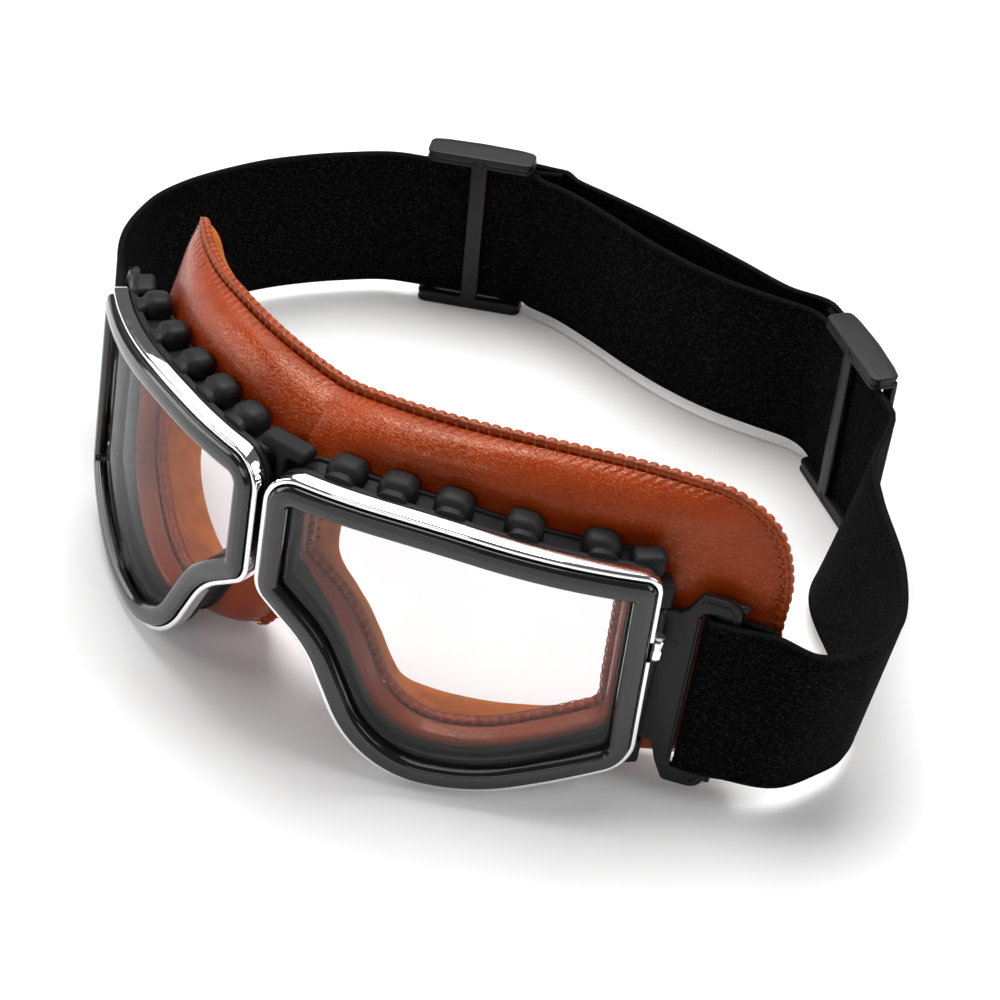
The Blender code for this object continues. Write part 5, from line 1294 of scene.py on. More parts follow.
def swell(grids):
    """Inflates the cushion between its seams by a cloth simulation, with its seams and collars held."""
    mesh = bpy.data.meshes.new("swelling")
    points, faces, held = [], [], []
    for side in SIDES:
        front, rear = grids[side]
        count, base = len(front), len(points)
        rows = [list(one) + list(reversed(two)) for one, two in zip(front, rear)]
        width, columns = len(rows[0]), len(front[0])
        for station, row in enumerate(rows):
            points.extend(row)
            for column in range(width):
                seam = column < COLLAR_COLUMNS + 1 or column >= width - 1 or column in (columns - 1, columns)
                in_middle = station > FIRST_NOSE * STATION_STEPS and column in (columns - 1, columns)
                held.append(1.0 if seam and not in_middle else 0.0)
        for station in range(count):
            following = (station + 1) % count
            for column in range(width):
                beside = (column + 1) % width
                if column == columns - 1 and (station >= FIRST_NOSE * STATION_STEPS):
                    continue
                corners = (station * width + column, station * width + beside,
                           following * width + beside, following * width + column)
                corners = tuple(base + corner for corner in corners)
                faces.append(corners if side == LEFT else tuple(reversed(corners)))
    mesh.from_pydata([point * SIMULATION_SCALE for point in points], [], faces)
    shape = bmesh.new()
    shape.from_mesh(mesh)
    kept = shape.verts.layers.int.new("number")
    for vertex in shape.verts:
        vertex[kept] = vertex.index
    near = [vertex for vertex in shape.verts if abs(vertex.co.x / SIMULATION_SCALE - SHIFT.x) < MIDDLE_PLAY]
    bmesh.ops.remove_doubles(shape, verts=near, dist=MIDDLE_PLAY * SIMULATION_SCALE)
    bmesh.ops.recalc_face_normals(shape, faces=shape.faces)
    numbers = [vertex[kept] for vertex in shape.verts]
    shape.to_mesh(mesh)
    shape.free()
    bag = linked("swelling", mesh)
    group = bag.vertex_groups.new(name="held")
    for index, number in enumerate(numbers):
        group.add([index], held[number], "REPLACE")
    cloth = bag.modifiers.new("cloth", "CLOTH")
    cloth.settings.vertex_group_mass = "held"
    cloth.settings.use_pressure = True
    cloth.settings.uniform_pressure_force = PRESSURE
    cloth.settings.effector_weights.gravity = 0.0
    for name, value in CLOTH.items():
        setattr(cloth.settings, name, value)
    cloth.collision_settings.use_collision = False
    scene = bpy.context.scene
    for number in range(1, SIMULATION_FRAMES + 1):
        scene.frame_set(number)
    finished = bag.evaluated_get(bpy.context.evaluated_depsgraph_get())
    after = [vertex.co / SIMULATION_SCALE for vertex in finished.data.vertices]
    before = [vertex.co / SIMULATION_SCALE for vertex in mesh.vertices]
    moved = {}
    for number, one, two in zip(numbers, before, after):
        step = two - one
        at_end = min(max((abs(one.x - SHIFT.x) - CALM_START) / CALM_LENGTH, 0.0), 1.0)
        most = MOST_SWELL * (1 - CALM_SHARE * at_end)
        if step.length > most:
            step *= most / step.length
        if abs(one.x - SHIFT.x) < MIDDLE_PLAY:
            step.x = 0.0
        moved[tuple(round(value, MATCH_DIGITS) for value in one)] = step
    scene.frame_set(1)
    bpy.data.objects.remove(bag, do_unlink=True)
    for side in SIDES:
        for grid in grids[side]:
            for row in grid:
                for index, point in enumerate(row):
                    row[index] = point + moved.get(tuple(round(value, MATCH_DIGITS) for value in point), Vector())


grids = cushion_grid()
swell(grids)


def running_lengths(points):
    """The length of a path up to each of its points."""
    lengths = [0.0]
    for one, two in zip(points, points[1:]):
        lengths.append(lengths[-1] + (two - one).length)
    return lengths


def skin_object(name, half, material, inward):
    """One skin of the cushion on both sides of the nose, welded in the middle plane and given its thickness.
    Its two maps hold the length along each seam and the distance from it."""
    shape = bmesh.new()
    outer_map = shape.loops.layers.uv.new("outer_seam")
    eye_map = shape.loops.layers.uv.new("eye_seam")
    for side in SIDES:
        rows = grids[side][half]
        made = [[shape.verts.new(point) for point in row] for row in rows]
        outer_lengths, eye_lengths = (running_lengths([row[column] for row in rows + rows[:1]]) for column in (-1, 0))
        reaches = [running_lengths(row) for row in rows]
        for station in range(len(made)):
            following = (station + 1) % len(made)
            for column in range(len(made[0]) - 1):
                corners = ((station, column, 0), (station, column + 1, 0), (following, column + 1, 1),
                           (following, column, 1))
                vertices = [made[row][place] for row, place, _ in corners]
                face = shape.faces.new(vertices)
                for loop, (row, place, later) in zip(face.loops, corners):
                    away = reaches[row][-1] - reaches[row][place]
                    if row > FIRST_NOSE * STATION_STEPS:
                        away += NOSE_AWAY
                    loop[outer_map].uv = (outer_lengths[station + later], away)
                    loop[eye_map].uv = (eye_lengths[station + later], reaches[row][place])
    near = [vertex for vertex in shape.verts if abs(vertex.co.x - SHIFT.x) < MIDDLE_PLAY]
    bmesh.ops.remove_doubles(shape, verts=near, dist=MIDDLE_PLAY)
    for half_width, rounds in MIDDLE_SMOOTHINGS:
        middle = [vertex for vertex in shape.verts
                  if abs(vertex.co.x - SHIFT.x) < half_width and not vertex.is_boundary]
        for _ in range(rounds):
            bmesh.ops.smooth_vert(shape, verts=middle, factor=SMOOTHING, use_axis_x=True, use_axis_y=True,
                                  use_axis_z=True)
    bmesh.ops.recalc_face_normals(shape, faces=shape.faces)
    facing = sum(face.normal.y * face.calc_area() for face in shape.faces)
    if facing * inward < 0:
        bmesh.ops.reverse_faces(shape, faces=shape.faces)
    skin = finished_object(name, plain_mesh(name, shape), material, 180)
    thick = skin.modifiers.new("thickness", "SOLIDIFY")
    thick.thickness = SKIN_THICKNESS
    thick.offset = -1.0
    finer = skin.modifiers.new("finer", "SUBSURF")
    finer.levels = finer.render_levels = 1
    finer.boundary_smooth = "PRESERVE_CORNERS"
    return skin


def make_leather():
    """Finished leather: long fine wrinkles that show in the gloss and are darkened with painted shade, creases at the
    ends, puckers at the outer seam with painted shade beside it.
    """
    finish = Finish("tan_leather", LEATHER_COLOUR, 0.34,
                    **{"Specular IOR Level": 0.62, "Specular Tint": LEATHER_GLOSS})
    place = finish.where()

    def folds(where, noise, width):
        """Fine lines where a noise is at its middle value: nothing in a fold, one beside it."""
        return finish.between((finish.noise(where, *noise) - NOISE_MIDDLE).worked("ABSOLUTE"), (0.0, width))

    drawn = finish.node("ShaderNodeMapping", {}, {"Vector": place, "Scale": WRINKLE_DRAW, "Rotation": WRINKLE_TURN})
    wrinkles = folds(drawn, LEATHER_WRINKLES, WRINKLE_WIDTH)
    pores = finish.noise(place, *LEATHER_PORES)
    swells = finish.noise(place, *LEATHER_SWELLS)
    outwards = finish.node("ShaderNodeSeparateXYZ", {}, {0: place}).worked("ABSOLUTE")
    creases = folds(place, END_CREASES, CREASE_WIDTH) * finish.between(outwards * CREASE_SCALE, CREASE_SPAN)
    seam = finish.node("ShaderNodeSeparateXYZ", {}, {0: finish.node("ShaderNodeUVMap", {"uv_map": "outer_seam"})})
    near = finish.between(seam.part(1) * PUCKER_SCALE, PUCKER_SPAN, 1.0, 0.0)
    puckers = (seam * (math.tau / STITCH)).worked("SINE") * near
    clouds = finish.between(finish.noise(place, *LEATHER_CLOUDS), CLOUD_SPAN)
    tone = finish.mix(clouds, LEATHER_DARK, LEATHER_COLOUR)
    # Painted shade: the wrinkle lines are darkened a little towards LEATHER_DARK.
    tone = finish.mix(WRINKLE_UNSHADED + wrinkles * WRINKLE_UNSHADED_MORE, LEATHER_DARK, tone)
    # Painted shade: the leather is darkened towards LEATHER_DARK beside the outer seam, where it dips into the
    # puckers.
    tone = finish.mix(near * SEAM_PAINTED_SHADE, tone, LEATHER_DARK)
    height = (wrinkles * LEATHER_RELIEF["wrinkles"] + pores * LEATHER_RELIEF["pores"]
              + swells * LEATHER_RELIEF["swells"] + puckers + creases * LEATHER_RELIEF["creases"])
    finish.feed(base=tone, roughness=LEATHER_DULL + swells * LEATHER_DULL_MORE,
                normal=finish.bump(height, *LEATHER_BUMP))
    return finish.material


def make_suede():
    """Napped suede: a mottled, fuzzy surface without gloss."""
    finish = Finish("tan_suede", SUEDE_COLOUR, 0.95, **{"Sheen Weight": 0.22, "Sheen Roughness": 0.5,
                                                        "Sheen Tint": SUEDE_SHEEN, "Specular IOR Level": 0.1})
    place = finish.where()
    nap, fuzz = finish.noise(place, *SUEDE_NAP), finish.noise(place, *SUEDE_FUZZ)
    tone = finish.mix(finish.between(nap, NAP_SPAN), SUEDE_DARK, SUEDE_COLOUR)
    tone = finish.mix(finish.between(fuzz, FUZZ_SPAN) * FUZZ_SHARE, tone, SUEDE_PALE)
    finish.feed(base=tone, normal=finish.bump(fuzz + nap * NAP_RELIEF, *SUEDE_BUMP))
    return finish.material


leather, suede = make_leather(), make_suede()
cover = skin_object("leather_skin", 0, leather, -1)
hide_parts("leather_cover", "pad_foam")
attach(cover, "goggles")
lining = skin_object("suede_face", 1, suede, 1)
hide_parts("suede_lining")
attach(lining, "goggles")

# Laced edges: the leather's cut edge is rolled over the seam and whip-stitched with waxed thread, so that it swells
# into a small bead between each two stitches. One runs round the whole cushion and one round each eye opening.
EDGE_STEPS = 8
EDGE_SIDES = 12
EDGE_UNDERSIDE = 0.0006
EDGE_SET_IN, EYE_EDGE_SET_IN = 0.0001, 0.0002
BEAD_HEIGHT, EYE_BEAD_HEIGHT = 0.0016, 0.0008
PINCH_DEPTH = 0.42
PINCH_WIDTH = 0.12
PINCH_LENGTH = 0.16
THREAD_RADIUS, EYE_THREAD_RADIUS = 0.00014, 0.00013
THREAD_SLANT = 0.00035
THREAD_PAIR = 0.00016
THREAD_SEAT = 0.8
THREAD_SIDES = 5
THREAD_STEPS = 7
FOOT_GATHER = 0.4
FOOT_DEPTH = 0.0007
CREST_THREADS = ((0.62, 0.80), (0.72, 0.66))
CREST_SHARES = (0.0, 0.25, 0.5, 0.75, 1.0)
CREST_RISE = 0.00022
STEEP = 0.7
HOLE_SLANT = 1.3
HOLE_OUT, HOLE_DEPTH, HOLE_RADIUS = 0.0004, 0.0008, 0.00028
HOLE_SHAPE = (0.8, 0.7, 1.2, 1.0)
UNEVENNESS = 0.02
SEED = 7
SPACING_PLAY = 0.99999
THREAD_COLOUR = (0.44, 0.080, 0.008)

# Waxed thread: twisted, lighter than the leather, a little glossy.
twist = Noise(2400.0)
thread = mottled(
    "waxed_thread", THREAD_COLOUR, 0.38, patches=Patches(twist, None, (0.24, 0.036, 0.003), (0.52, 0.12, 0.015)),
    grain=Grain(twist, depth=0.00008, strength=0.6))

# The same leather where it is rolled and stretched: smoother, glossier and darker in random patches.
edge_grain = Noise(1500.0, 3.0, 0.6)
leather_edge = mottled(
    "rolled_leather_edge", LEATHER_COLOUR, 0.3,
    patches=Patches(Noise(260.0), (0.3, 0.7), (0.22, 0.028, 0.003), LEATHER_COLOUR),
    wear=Wear(edge_grain, None, least=0.34, more=0.18),
    grain=Grain(edge_grain, depth=0.00012, strength=0.5), **{"Specular Tint": LEATHER_GLOSS})

# Painted shade inside a needle hole: a near-black pit standing for the shadow in the hole.
hole_shade = mottled("needle_hole", (0.03, 0.006, 0.002), 0.8,
              patches=Patches(Noise(900.0), None, (0.020, 0.004, 0.001), (0.060, 0.010, 0.002)))


def even_path(places, spacing):
    """A closed path resampled at even lengths. Each place is (centre, across, outward)."""
    ring = places + places[:1]
    lengths = running_lengths([place[0] for place in ring])
    count = max(8, round(lengths[-1] / spacing))
    even, index = [], 0
    for number in range(count):
        target = lengths[-1] * number / count
        while lengths[index + 1] < target:
            index += 1
        share = (target - lengths[index]) / max(lengths[index + 1] - lengths[index], 1e-9)
        even.append(tuple(one.lerp(two, share) for one, two in zip(ring[index], ring[index + 1])))
    return even


def seam_place(front, rear, edge, inside):
    """The middle of a seam between two rows, the way across it and the way inwards."""
    return (front[edge].lerp(rear[edge], 0.5), (rear[edge] - front[edge]).normalized(),
            front[inside] + rear[inside] - front[edge] - rear[edge])


def with_outward(places):
    """Sets each place's outward direction square to the path, away from the leather beside it."""
    done = []
    for index, (centre, across, inner) in enumerate(places):
        along = (places[(index + 1) % len(places)][0] - places[index - 1][0]).normalized()
        outward = along.cross(across).normalized()
        if outward.dot(inner) > 0:
            outward = -outward
        done.append((centre, outward.cross(along).normalized(), outward))
    return done


def outer_path():
    """The outer seam of both sides as one closed path."""
    last = FIRST_NOSE * STATION_STEPS
    right, left = ([seam_place(front, rear, -1, -3) for front, rear in zip(*grids[side])][:last + 1]
                   for side in SIDES)
    return with_outward(right + list(reversed(left[1:-1])))


def eye_path(side):
    return with_outward([seam_place(front, rear, 0, 2) for front, rear in zip(*grids[side])])


def laced_edge(path, half_width, height, spacing):
    """The rolled edge: a closed half-round band, pinched in by each stitch."""
    fine = even_path(path, spacing / EDGE_STEPS)
    count = round(len(fine) / EDGE_STEPS)
    rows = []
    for number, (centre, across, outward) in enumerate(fine):
        across, outward = across.normalized(), outward.normalized()
        phase = number * count / len(fine) % 1.0
        pinch = math.exp(-(min(phase, 1 - phase) / PINCH_LENGTH) ** 2)
        full, wide = 1 - PINCH_DEPTH * pinch, 1 - PINCH_WIDTH * pinch
        row = []
        for step in range(EDGE_SIDES):
            angle = math.tau * step / EDGE_SIDES
            up = math.sin(angle)
            rise = height * full * up if up > 0 else EDGE_UNDERSIDE * up
            row.append(centre + across * (math.cos(angle) * half_width * wide) + outward * rise)
        rows.append(row)
    return lofted(rows, True), count


def shape_object(name, shape):
    """A scratch object for a bmesh, to be repeated and then removed."""
    bmesh.ops.recalc_face_normals(shape, faces=shape.faces)
    return linked(name, plain_mesh(name, shape))


def make_stitch(half_width, height, thickness, spacing):
    """One whip stitch: a pair of thread ends from a hole over the pinched edge, and a run along the front crest."""
    shape = bmesh.new()
    side_reach = half_width * (1 - PINCH_WIDTH) + thickness * THREAD_SEAT
    rise = height * (1 - PINCH_DEPTH) + thickness * THREAD_SEAT
    paths = []
    for apart in (-THREAD_PAIR, THREAD_PAIR):
        over = [(apart + THREAD_SLANT * math.cos(angle), -math.cos(angle) * side_reach, math.sin(angle) * rise)
                for angle in (math.pi * step / THREAD_STEPS for step in range(THREAD_STEPS + 1))]
        foot = (apart * FOOT_GATHER + THREAD_SLANT * HOLE_SLANT, -side_reach - thickness, -FOOT_DEPTH)
        paths.append([foot] + over + [(-foot[0], -foot[1], foot[2])])
    for sideways, up in CREST_THREADS:
        paths.append([(spacing * share, -side_reach * sideways, height * up + CREST_RISE * math.sin(math.pi * share))
                      for share in CREST_SHARES])
    for path in paths:
        rings = []
        points = [Vector(point) for point in path]
        for index, point in enumerate(points):
            ahead = (points[min(index + 1, len(points) - 1)] - points[max(index - 1, 0)]).normalized()
            start = Vector((0.0, 0.6, 0.8)) if abs(ahead.x) > STEEP else Vector((1.0, 0.0, 0.0))
            square = ahead.cross(start).normalized()
            other = ahead.cross(square)
            rings.append([shape.verts.new(point + (square * math.cos(angle) + other * math.sin(angle)) * thickness)
                          for angle in (math.tau * step / THREAD_SIDES for step in range(THREAD_SIDES))])
        for one, two in zip(rings, rings[1:]):
            for index in range(THREAD_SIDES):
                following = (index + 1) % THREAD_SIDES
                shape.faces.new((one[index], one[following], two[following], two[index]))
        shape.faces.new(rings[0])
        shape.faces.new(list(reversed(rings[-1])))
    return shape_object("stitch", shape)


def make_hole(half_width):
    """The needle hole at the foot of each stitch, on both faces: a small pit, dark with painted shade."""
    shape = bmesh.new()
    for face in (-1, 1):
        place = (-THREAD_SLANT * HOLE_SLANT * face, face * (half_width + HOLE_OUT), -HOLE_DEPTH)
        bmesh.ops.create_uvsphere(shape, u_segments=6, v_segments=4, radius=HOLE_RADIUS,
                                  matrix=Matrix.Translation(place) @ Matrix.Diagonal(HOLE_SHAPE))
    return shape_object("hole", shape)


def row_tree():
    """Geometry Nodes: one shape repeated along a path, upright on its outward direction, a little uneven."""
    tree = bpy.data.node_groups.new("repeat_along_path", "GeometryNodeTree")
    sockets = {}
    for name, kind in (("Path", "Geometry"), ("Shape", "Object"), ("Spacing", "Float"), ("Unevenness", "Float"),
                       ("Seed", "Int"), ("Finish", "Material")):
        made = tree.interface.new_socket(name, in_out="INPUT", socket_type=f"NodeSocket{kind}")
        sockets[name] = made.identifier
    tree.interface.new_socket("Row", in_out="OUTPUT", socket_type="NodeSocketGeometry")
    nodes = Nodes(tree)
    given = nodes.node("NodeGroupInput")
    curve = nodes.node("GeometryNodeMeshToCurve", {}, {"Mesh": given.part("Path")})
    even = nodes.node("GeometryNodeResampleCurve", {"mode": "LENGTH"},
                      {"Curve": curve, "Length": given.part("Spacing")})
    outward = nodes.node("GeometryNodeInputNamedAttribute", {"data_type": "FLOAT_VECTOR"}, {"Name": "outward"})
    upright = nodes.node("FunctionNodeAxesToRotation", {"primary_axis": "X", "secondary_axis": "Z"},
                         {"Primary Axis": nodes.node("GeometryNodeInputTangent"), "Secondary Axis": outward})
    shape = nodes.node("GeometryNodeObjectInfo", {}, {"Object": given.part("Shape")}, "Geometry")
    uneven = given.part("Unevenness")
    varied = nodes.node("FunctionNodeRandomValue", {"data_type": "FLOAT"},
                        {2: 1.0 - uneven, 3: 1.0 + uneven, "Seed": given.part("Seed")}, 1)
    placed = nodes.node("GeometryNodeInstanceOnPoints", {},
                        {"Points": even, "Instance": shape, "Rotation": upright, "Scale": varied})
    real = nodes.node("GeometryNodeRealizeInstances", {}, {"Geometry": placed})
    painted = nodes.node("GeometryNodeSetMaterial", {}, {"Geometry": real, "Material": given.part("Finish")})
    tree.links.new(painted.socket, tree.nodes.new("NodeGroupOutput").inputs[0])
    return tree, sockets


row_group, row_inputs = row_tree()


def row_along(name, path, shape, spacing, finish):
    """The shape repeated along a closed path of (centre, across, outward) places, as a plain mesh."""
    mesh = bpy.data.meshes.new(name)
    edges = [(index, index + 1) for index in range(len(path) - 1)] + [(len(path) - 1, 0)]
    mesh.from_pydata([place[0] for place in path], edges, [])
    outward = mesh.attributes.new("outward", "FLOAT_VECTOR", "POINT")
    outward.data.foreach_set("vector", [value for place in path for value in place[2]])
    carrier = linked(name, mesh)
    modifier = carrier.modifiers.new("row", "NODES")
    modifier.node_group = row_group
    for label, value in (("Shape", shape), ("Spacing", spacing), ("Unevenness", UNEVENNESS), ("Seed", SEED),
                         ("Finish", finish)):
        modifier[row_inputs[label]] = value
    return as_made(carrier)


def make_laced_edge(name, path, half_width, height, thickness, node):
    """The rolled edge of one seam, its stitches, which stand for the CAD lacing, and their needle holes, pits of
    painted shade.
    """
    edge, count = laced_edge(path, half_width, height, STITCH)
    spacing = length_of([place[0] for place in path + path[:1]]) / count
    stitch = make_stitch(half_width, height, thickness, spacing)
    for label, repeated, finish, slot, nodes in (("stitches", stitch, thread, "thread", [node]),
                                                 ("needle_holes", make_hole(half_width), hole_shade, "tan_leather", [])):
        row = row_along(label, path, repeated, spacing * SPACING_PLAY, finish)
        fitted(f"{name}_{label}", row, finish, 60, slot, "goggles", *nodes)
        bpy.data.objects.remove(repeated, do_unlink=True)
    fitted(f"{name}_rolled_edge", mesh_of("edge", edge), leather_edge, 60, "tan_leather", "goggles")


make_laced_edge("outer", outer_path(), HEM_THICKNESS / 2 - EDGE_SET_IN, BEAD_HEIGHT, THREAD_RADIUS,
                "outer_edge_lacing")
for side in SIDES:
    make_laced_edge(f"{SIDES[side]}_eye", eye_path(side), HEM_THICKNESS / 2 - EYE_EDGE_SET_IN, EYE_BEAD_HEIGHT,
                    EYE_THREAD_RADIUS, f"{SIDES[side]}_eye_lacing")

# Head strap: one length of black knit elastic, folded and sewn round the outer bar of each bracket and passed through
# both sliders. It is made in two lengths that meet under the left slider's centre bar, each following its bracket.
STRAP_THICKNESS = 0.0014
STRAP_LIFT = 0.0035
STRAP_FRONT_RISE = 0.0040
LOOP_LEG = 0.0072
LEG_BOW = 0.0003
LOOP_HALF_WIDTH = 0.1135
LOOP_DEPTH = 0.1820
SLIDER_LENGTH = 0.0280
SLIDER_RAIL = 0.0031
SLIDER_BAR = 0.0016
SLIDER_CENTRE_BAR = 0.0044
SLIDER_SIDE_BAR = 0.0040
SLIDER_PLAY = 0.0004
SLIDER_BOW = 0.0012
SLIDER_TRAVEL = 0.0050
SLIDER_PLACES = {RIGHT: ((0.0560, 0.1615), math.radians(-34)), LEFT: ((-0.0630, 0.1665), math.radians(27))}
STRAP_LINE = -(STRAP_THICKNESS + FIT_GAP) / 2
BAND_LEG_LINE = (STRAP_THICKNESS + FIT_GAP) / 2
BAR_LINE = BAND_LEG_LINE + STRAP_THICKNESS / 2 + FIT_GAP + SLIDER_BAR / 2
CENTRE_BAR_LINE = STRAP_LINE - STRAP_THICKNESS / 2 - FIT_GAP - SLIDER_BAR / 2
MAP_APART = 0.5
STRAP_MIDDLE = STRAP_LIFT + STRAP_WIDTH / 2
RIGHT_ROUTE = (
    (0.943, 0.338, 0.38, -0.08, -0.02),
    (0.989, 0.380, 0.25, -0.12, 0.02),
    (1.008, 0.429, 0.12, -0.14, 0.01),
    (0.989, 0.484, 0.00, -0.17, 0.04),
    (0.910, 0.562, 0.00, -0.27, 0.03),
    (0.784, 0.646, 0.00, -0.30, 0.00),
    (0.700, 0.717, 0.00, -0.20, 0.00),
)
REAR_ROUTE = ((0.325, 0.939), (0.235, 0.929), (0.130, 0.918), (0.020, 0.916), (-0.100, 0.923), (-0.220, 0.936),
              (-0.330, 0.945), (-0.410, 0.943))
LEFT_ROUTE = (
    (-0.810, 0.800, 0.00, 0.00, 0.00),
    (-0.905, 0.716, 0.03, 0.00, 0.00),
    (-0.957, 0.636, 0.12, 0.00, 0.00),
    (-0.979, 0.569, 0.25, 0.00, -0.01),
    (-0.974, 0.505, 0.38, 0.00, -0.03),
    (-0.921, 0.421, 0.62, 0.00, -0.07),
)
BAND_ROUTE = ((0.235, 0.963), (0.110, 0.970), (-0.020, 0.976), (-0.150, 0.980), (-0.270, 0.980), (-0.350, 0.979))
ROUTE_STEPS = 8
LOOP_STEPS = 14
BODY_COLUMNS = 16
SELVEDGE = ((0.0000, 0.00022), (0.00015, 0.00048), (0.0005, 0.00072), (0.0010, 0.00074), (0.0014, 0.00060),
            (0.0018, 0.00056), (0.0024, 0.00066), (0.0040, 0.00070))
STRAP_COLOUR = (0.0008, 0.0008, 0.0009)
BODY_START, BODY_SHARE = 0.1, 0.8
KNIT_LOOPS = Noise(1300.0, 2.0, 0.6, 1.2)
KNIT_BROAD = Noise(60.0)
FLECK_SPAN = (0.53, 0.64)
FLECK_LEAST, FLECK_MORE = 0.5, 0.7
SELVEDGE_SCALE, SELVEDGE_SPAN = 400.0, (0.22, 0.36)
SELVEDGE_SHARE = 0.5
SELVEDGE_RELIEF = 0.3
ELASTIC_BUMP = (0.00035, 0.8)
KNIT_DRAW, KNIT_TURN = (1.0, 1.35, 1.0), (0.0, 0.0, 0.5)
FLECK_COLOUR = (0.016, 0.016, 0.017)
SELVEDGE_COLOUR = (0.014, 0.014, 0.014)


def make_elastic():
    """Knit elastic: a pile of short dark loops with paler flecks, running in fine ribs, and a smoother selvedge."""
    finish = Finish("knit_elastic", STRAP_COLOUR, 0.9, **{"Specular IOR Level": 0.04})
    place = finish.node("ShaderNodeUVMap", {"uv_map": "strap"})
    drawn = finish.node("ShaderNodeMapping", {}, {"Vector": place, "Scale": KNIT_DRAW, "Rotation": KNIT_TURN})
    loops = finish.noise(drawn, *KNIT_LOOPS)
    broad = finish.noise(place, *KNIT_BROAD)
    across = finish.node("ShaderNodeSeparateXYZ", {}, {0: place}).part(1)
    from_edge = across.worked("MINIMUM", STRAP_WIDTH - across)
    selvedge = finish.between(from_edge * SELVEDGE_SCALE, SELVEDGE_SPAN, 1.0, 0.0)
    flecks = finish.between(loops, FLECK_SPAN) * (FLECK_LEAST + broad * FLECK_MORE)
    tone = finish.mix(flecks, STRAP_COLOUR, FLECK_COLOUR)
    tone = finish.mix(selvedge * SELVEDGE_SHARE, tone, SELVEDGE_COLOUR)
    finish.feed(base=tone, normal=finish.bump(loops + selvedge * SELVEDGE_RELIEF, *ELASTIC_BUMP))
    return finish.material


elastic = make_elastic()


def route_pairs(shares):
    """Lower and upper edge point of a strap at each place of its route."""
    pairs = []
    for across, back, *rest in shares:
        rise, sideways, backward = rest or (0.0, 0.0, 0.0)
        low = STRAP_LIFT + STRAP_FRONT_RISE * rise
        x, y = across * LOOP_HALF_WIDTH, back * LOOP_DEPTH
        pairs.append((Vector((x + sideways * STRAP_WIDTH, y + backward * STRAP_WIDTH, low)) + SHIFT,
                      Vector((x, y, low + STRAP_WIDTH)) + SHIFT))
    return pairs


def upright_pair(place):
    return (Vector((place.x, place.y, STRAP_LIFT)), Vector((place.x, place.y, STRAP_LIFT + STRAP_WIDTH)))


def run(start, start_way, places, end, end_way):
    """Edge points on a smooth line through all places, leaving and arriving in the given directions."""
    full = [start] + places + [end]
    slopes = []
    for index in range(len(full)):
        if index == 0:
            slopes.append([start_way * (full[1][1] - full[0][1]).length] * 2)
        elif index == len(full) - 1:
            slopes.append([end_way * (full[-1][1] - full[-2][1]).length] * 2)
        else:
            slopes.append([(full[index + 1][edge] - full[index - 1][edge]) / 2 for edge in (0, 1)])
    stations = [start]
    for index in range(len(full) - 1):
        for step in range(1, ROUTE_STEPS + 1):
            stations.append(tuple(eased(full[index][edge], full[index + 1][edge], slopes[index][edge],
                                        slopes[index + 1][edge], step / ROUTE_STEPS) for edge in (0, 1)))
    return stations


def folded_end(stand, bar, bar_thickness, line, middle, tail_side):
    """Edge points of a strap end folded round an upright bar, from its sewn tail to where the strap goes on."""
    near, far = bar
    way = math.copysign(1, far - near)
    offset = bar_thickness / 2 + FIT_GAP + STRAP_THICKNESS / 2
    closed = STRAP_THICKNESS / 2 + FIT_GAP
    end = far + way * LOOP_LEG
    leg = [(end, closed), (far + way * LOOP_LEG * 0.75, closed + LEG_BOW * 0.4),
           (far + way * LOOP_LEG / 2, closed + LEG_BOW),
           (far + way * LOOP_LEG / 4, (closed + LEG_BOW + offset) / 2), (far, offset)]
    bend = [(near - way * offset * math.sin(angle), offset * math.cos(angle))
            for angle in (math.pi * step / LOOP_STEPS for step in range(LOOP_STEPS + 1))]
    half = (far + near) / 2
    path = leg + [(half, offset)] + bend + [(half, -offset)] + [(x, -y) for x, y in reversed(leg)]
    return [tuple(stand @ Vector((x, line + y * tail_side, middle + share * STRAP_WIDTH)) for share in (-0.5, 0.5))
            for x, y in path]


def edge_profile():
    """The strap's section as (share of the width, half thickness), with a bead along each selvedge."""
    one = [(place / STRAP_WIDTH, half) for place, half in SELVEDGE]
    body = [(BODY_START + BODY_SHARE * (step + 1) / (BODY_COLUMNS + 1), STRAP_THICKNESS / 2)
            for step in range(BODY_COLUMNS)]
    return one + body + [(1 - place, half) for place, half in reversed(one)]


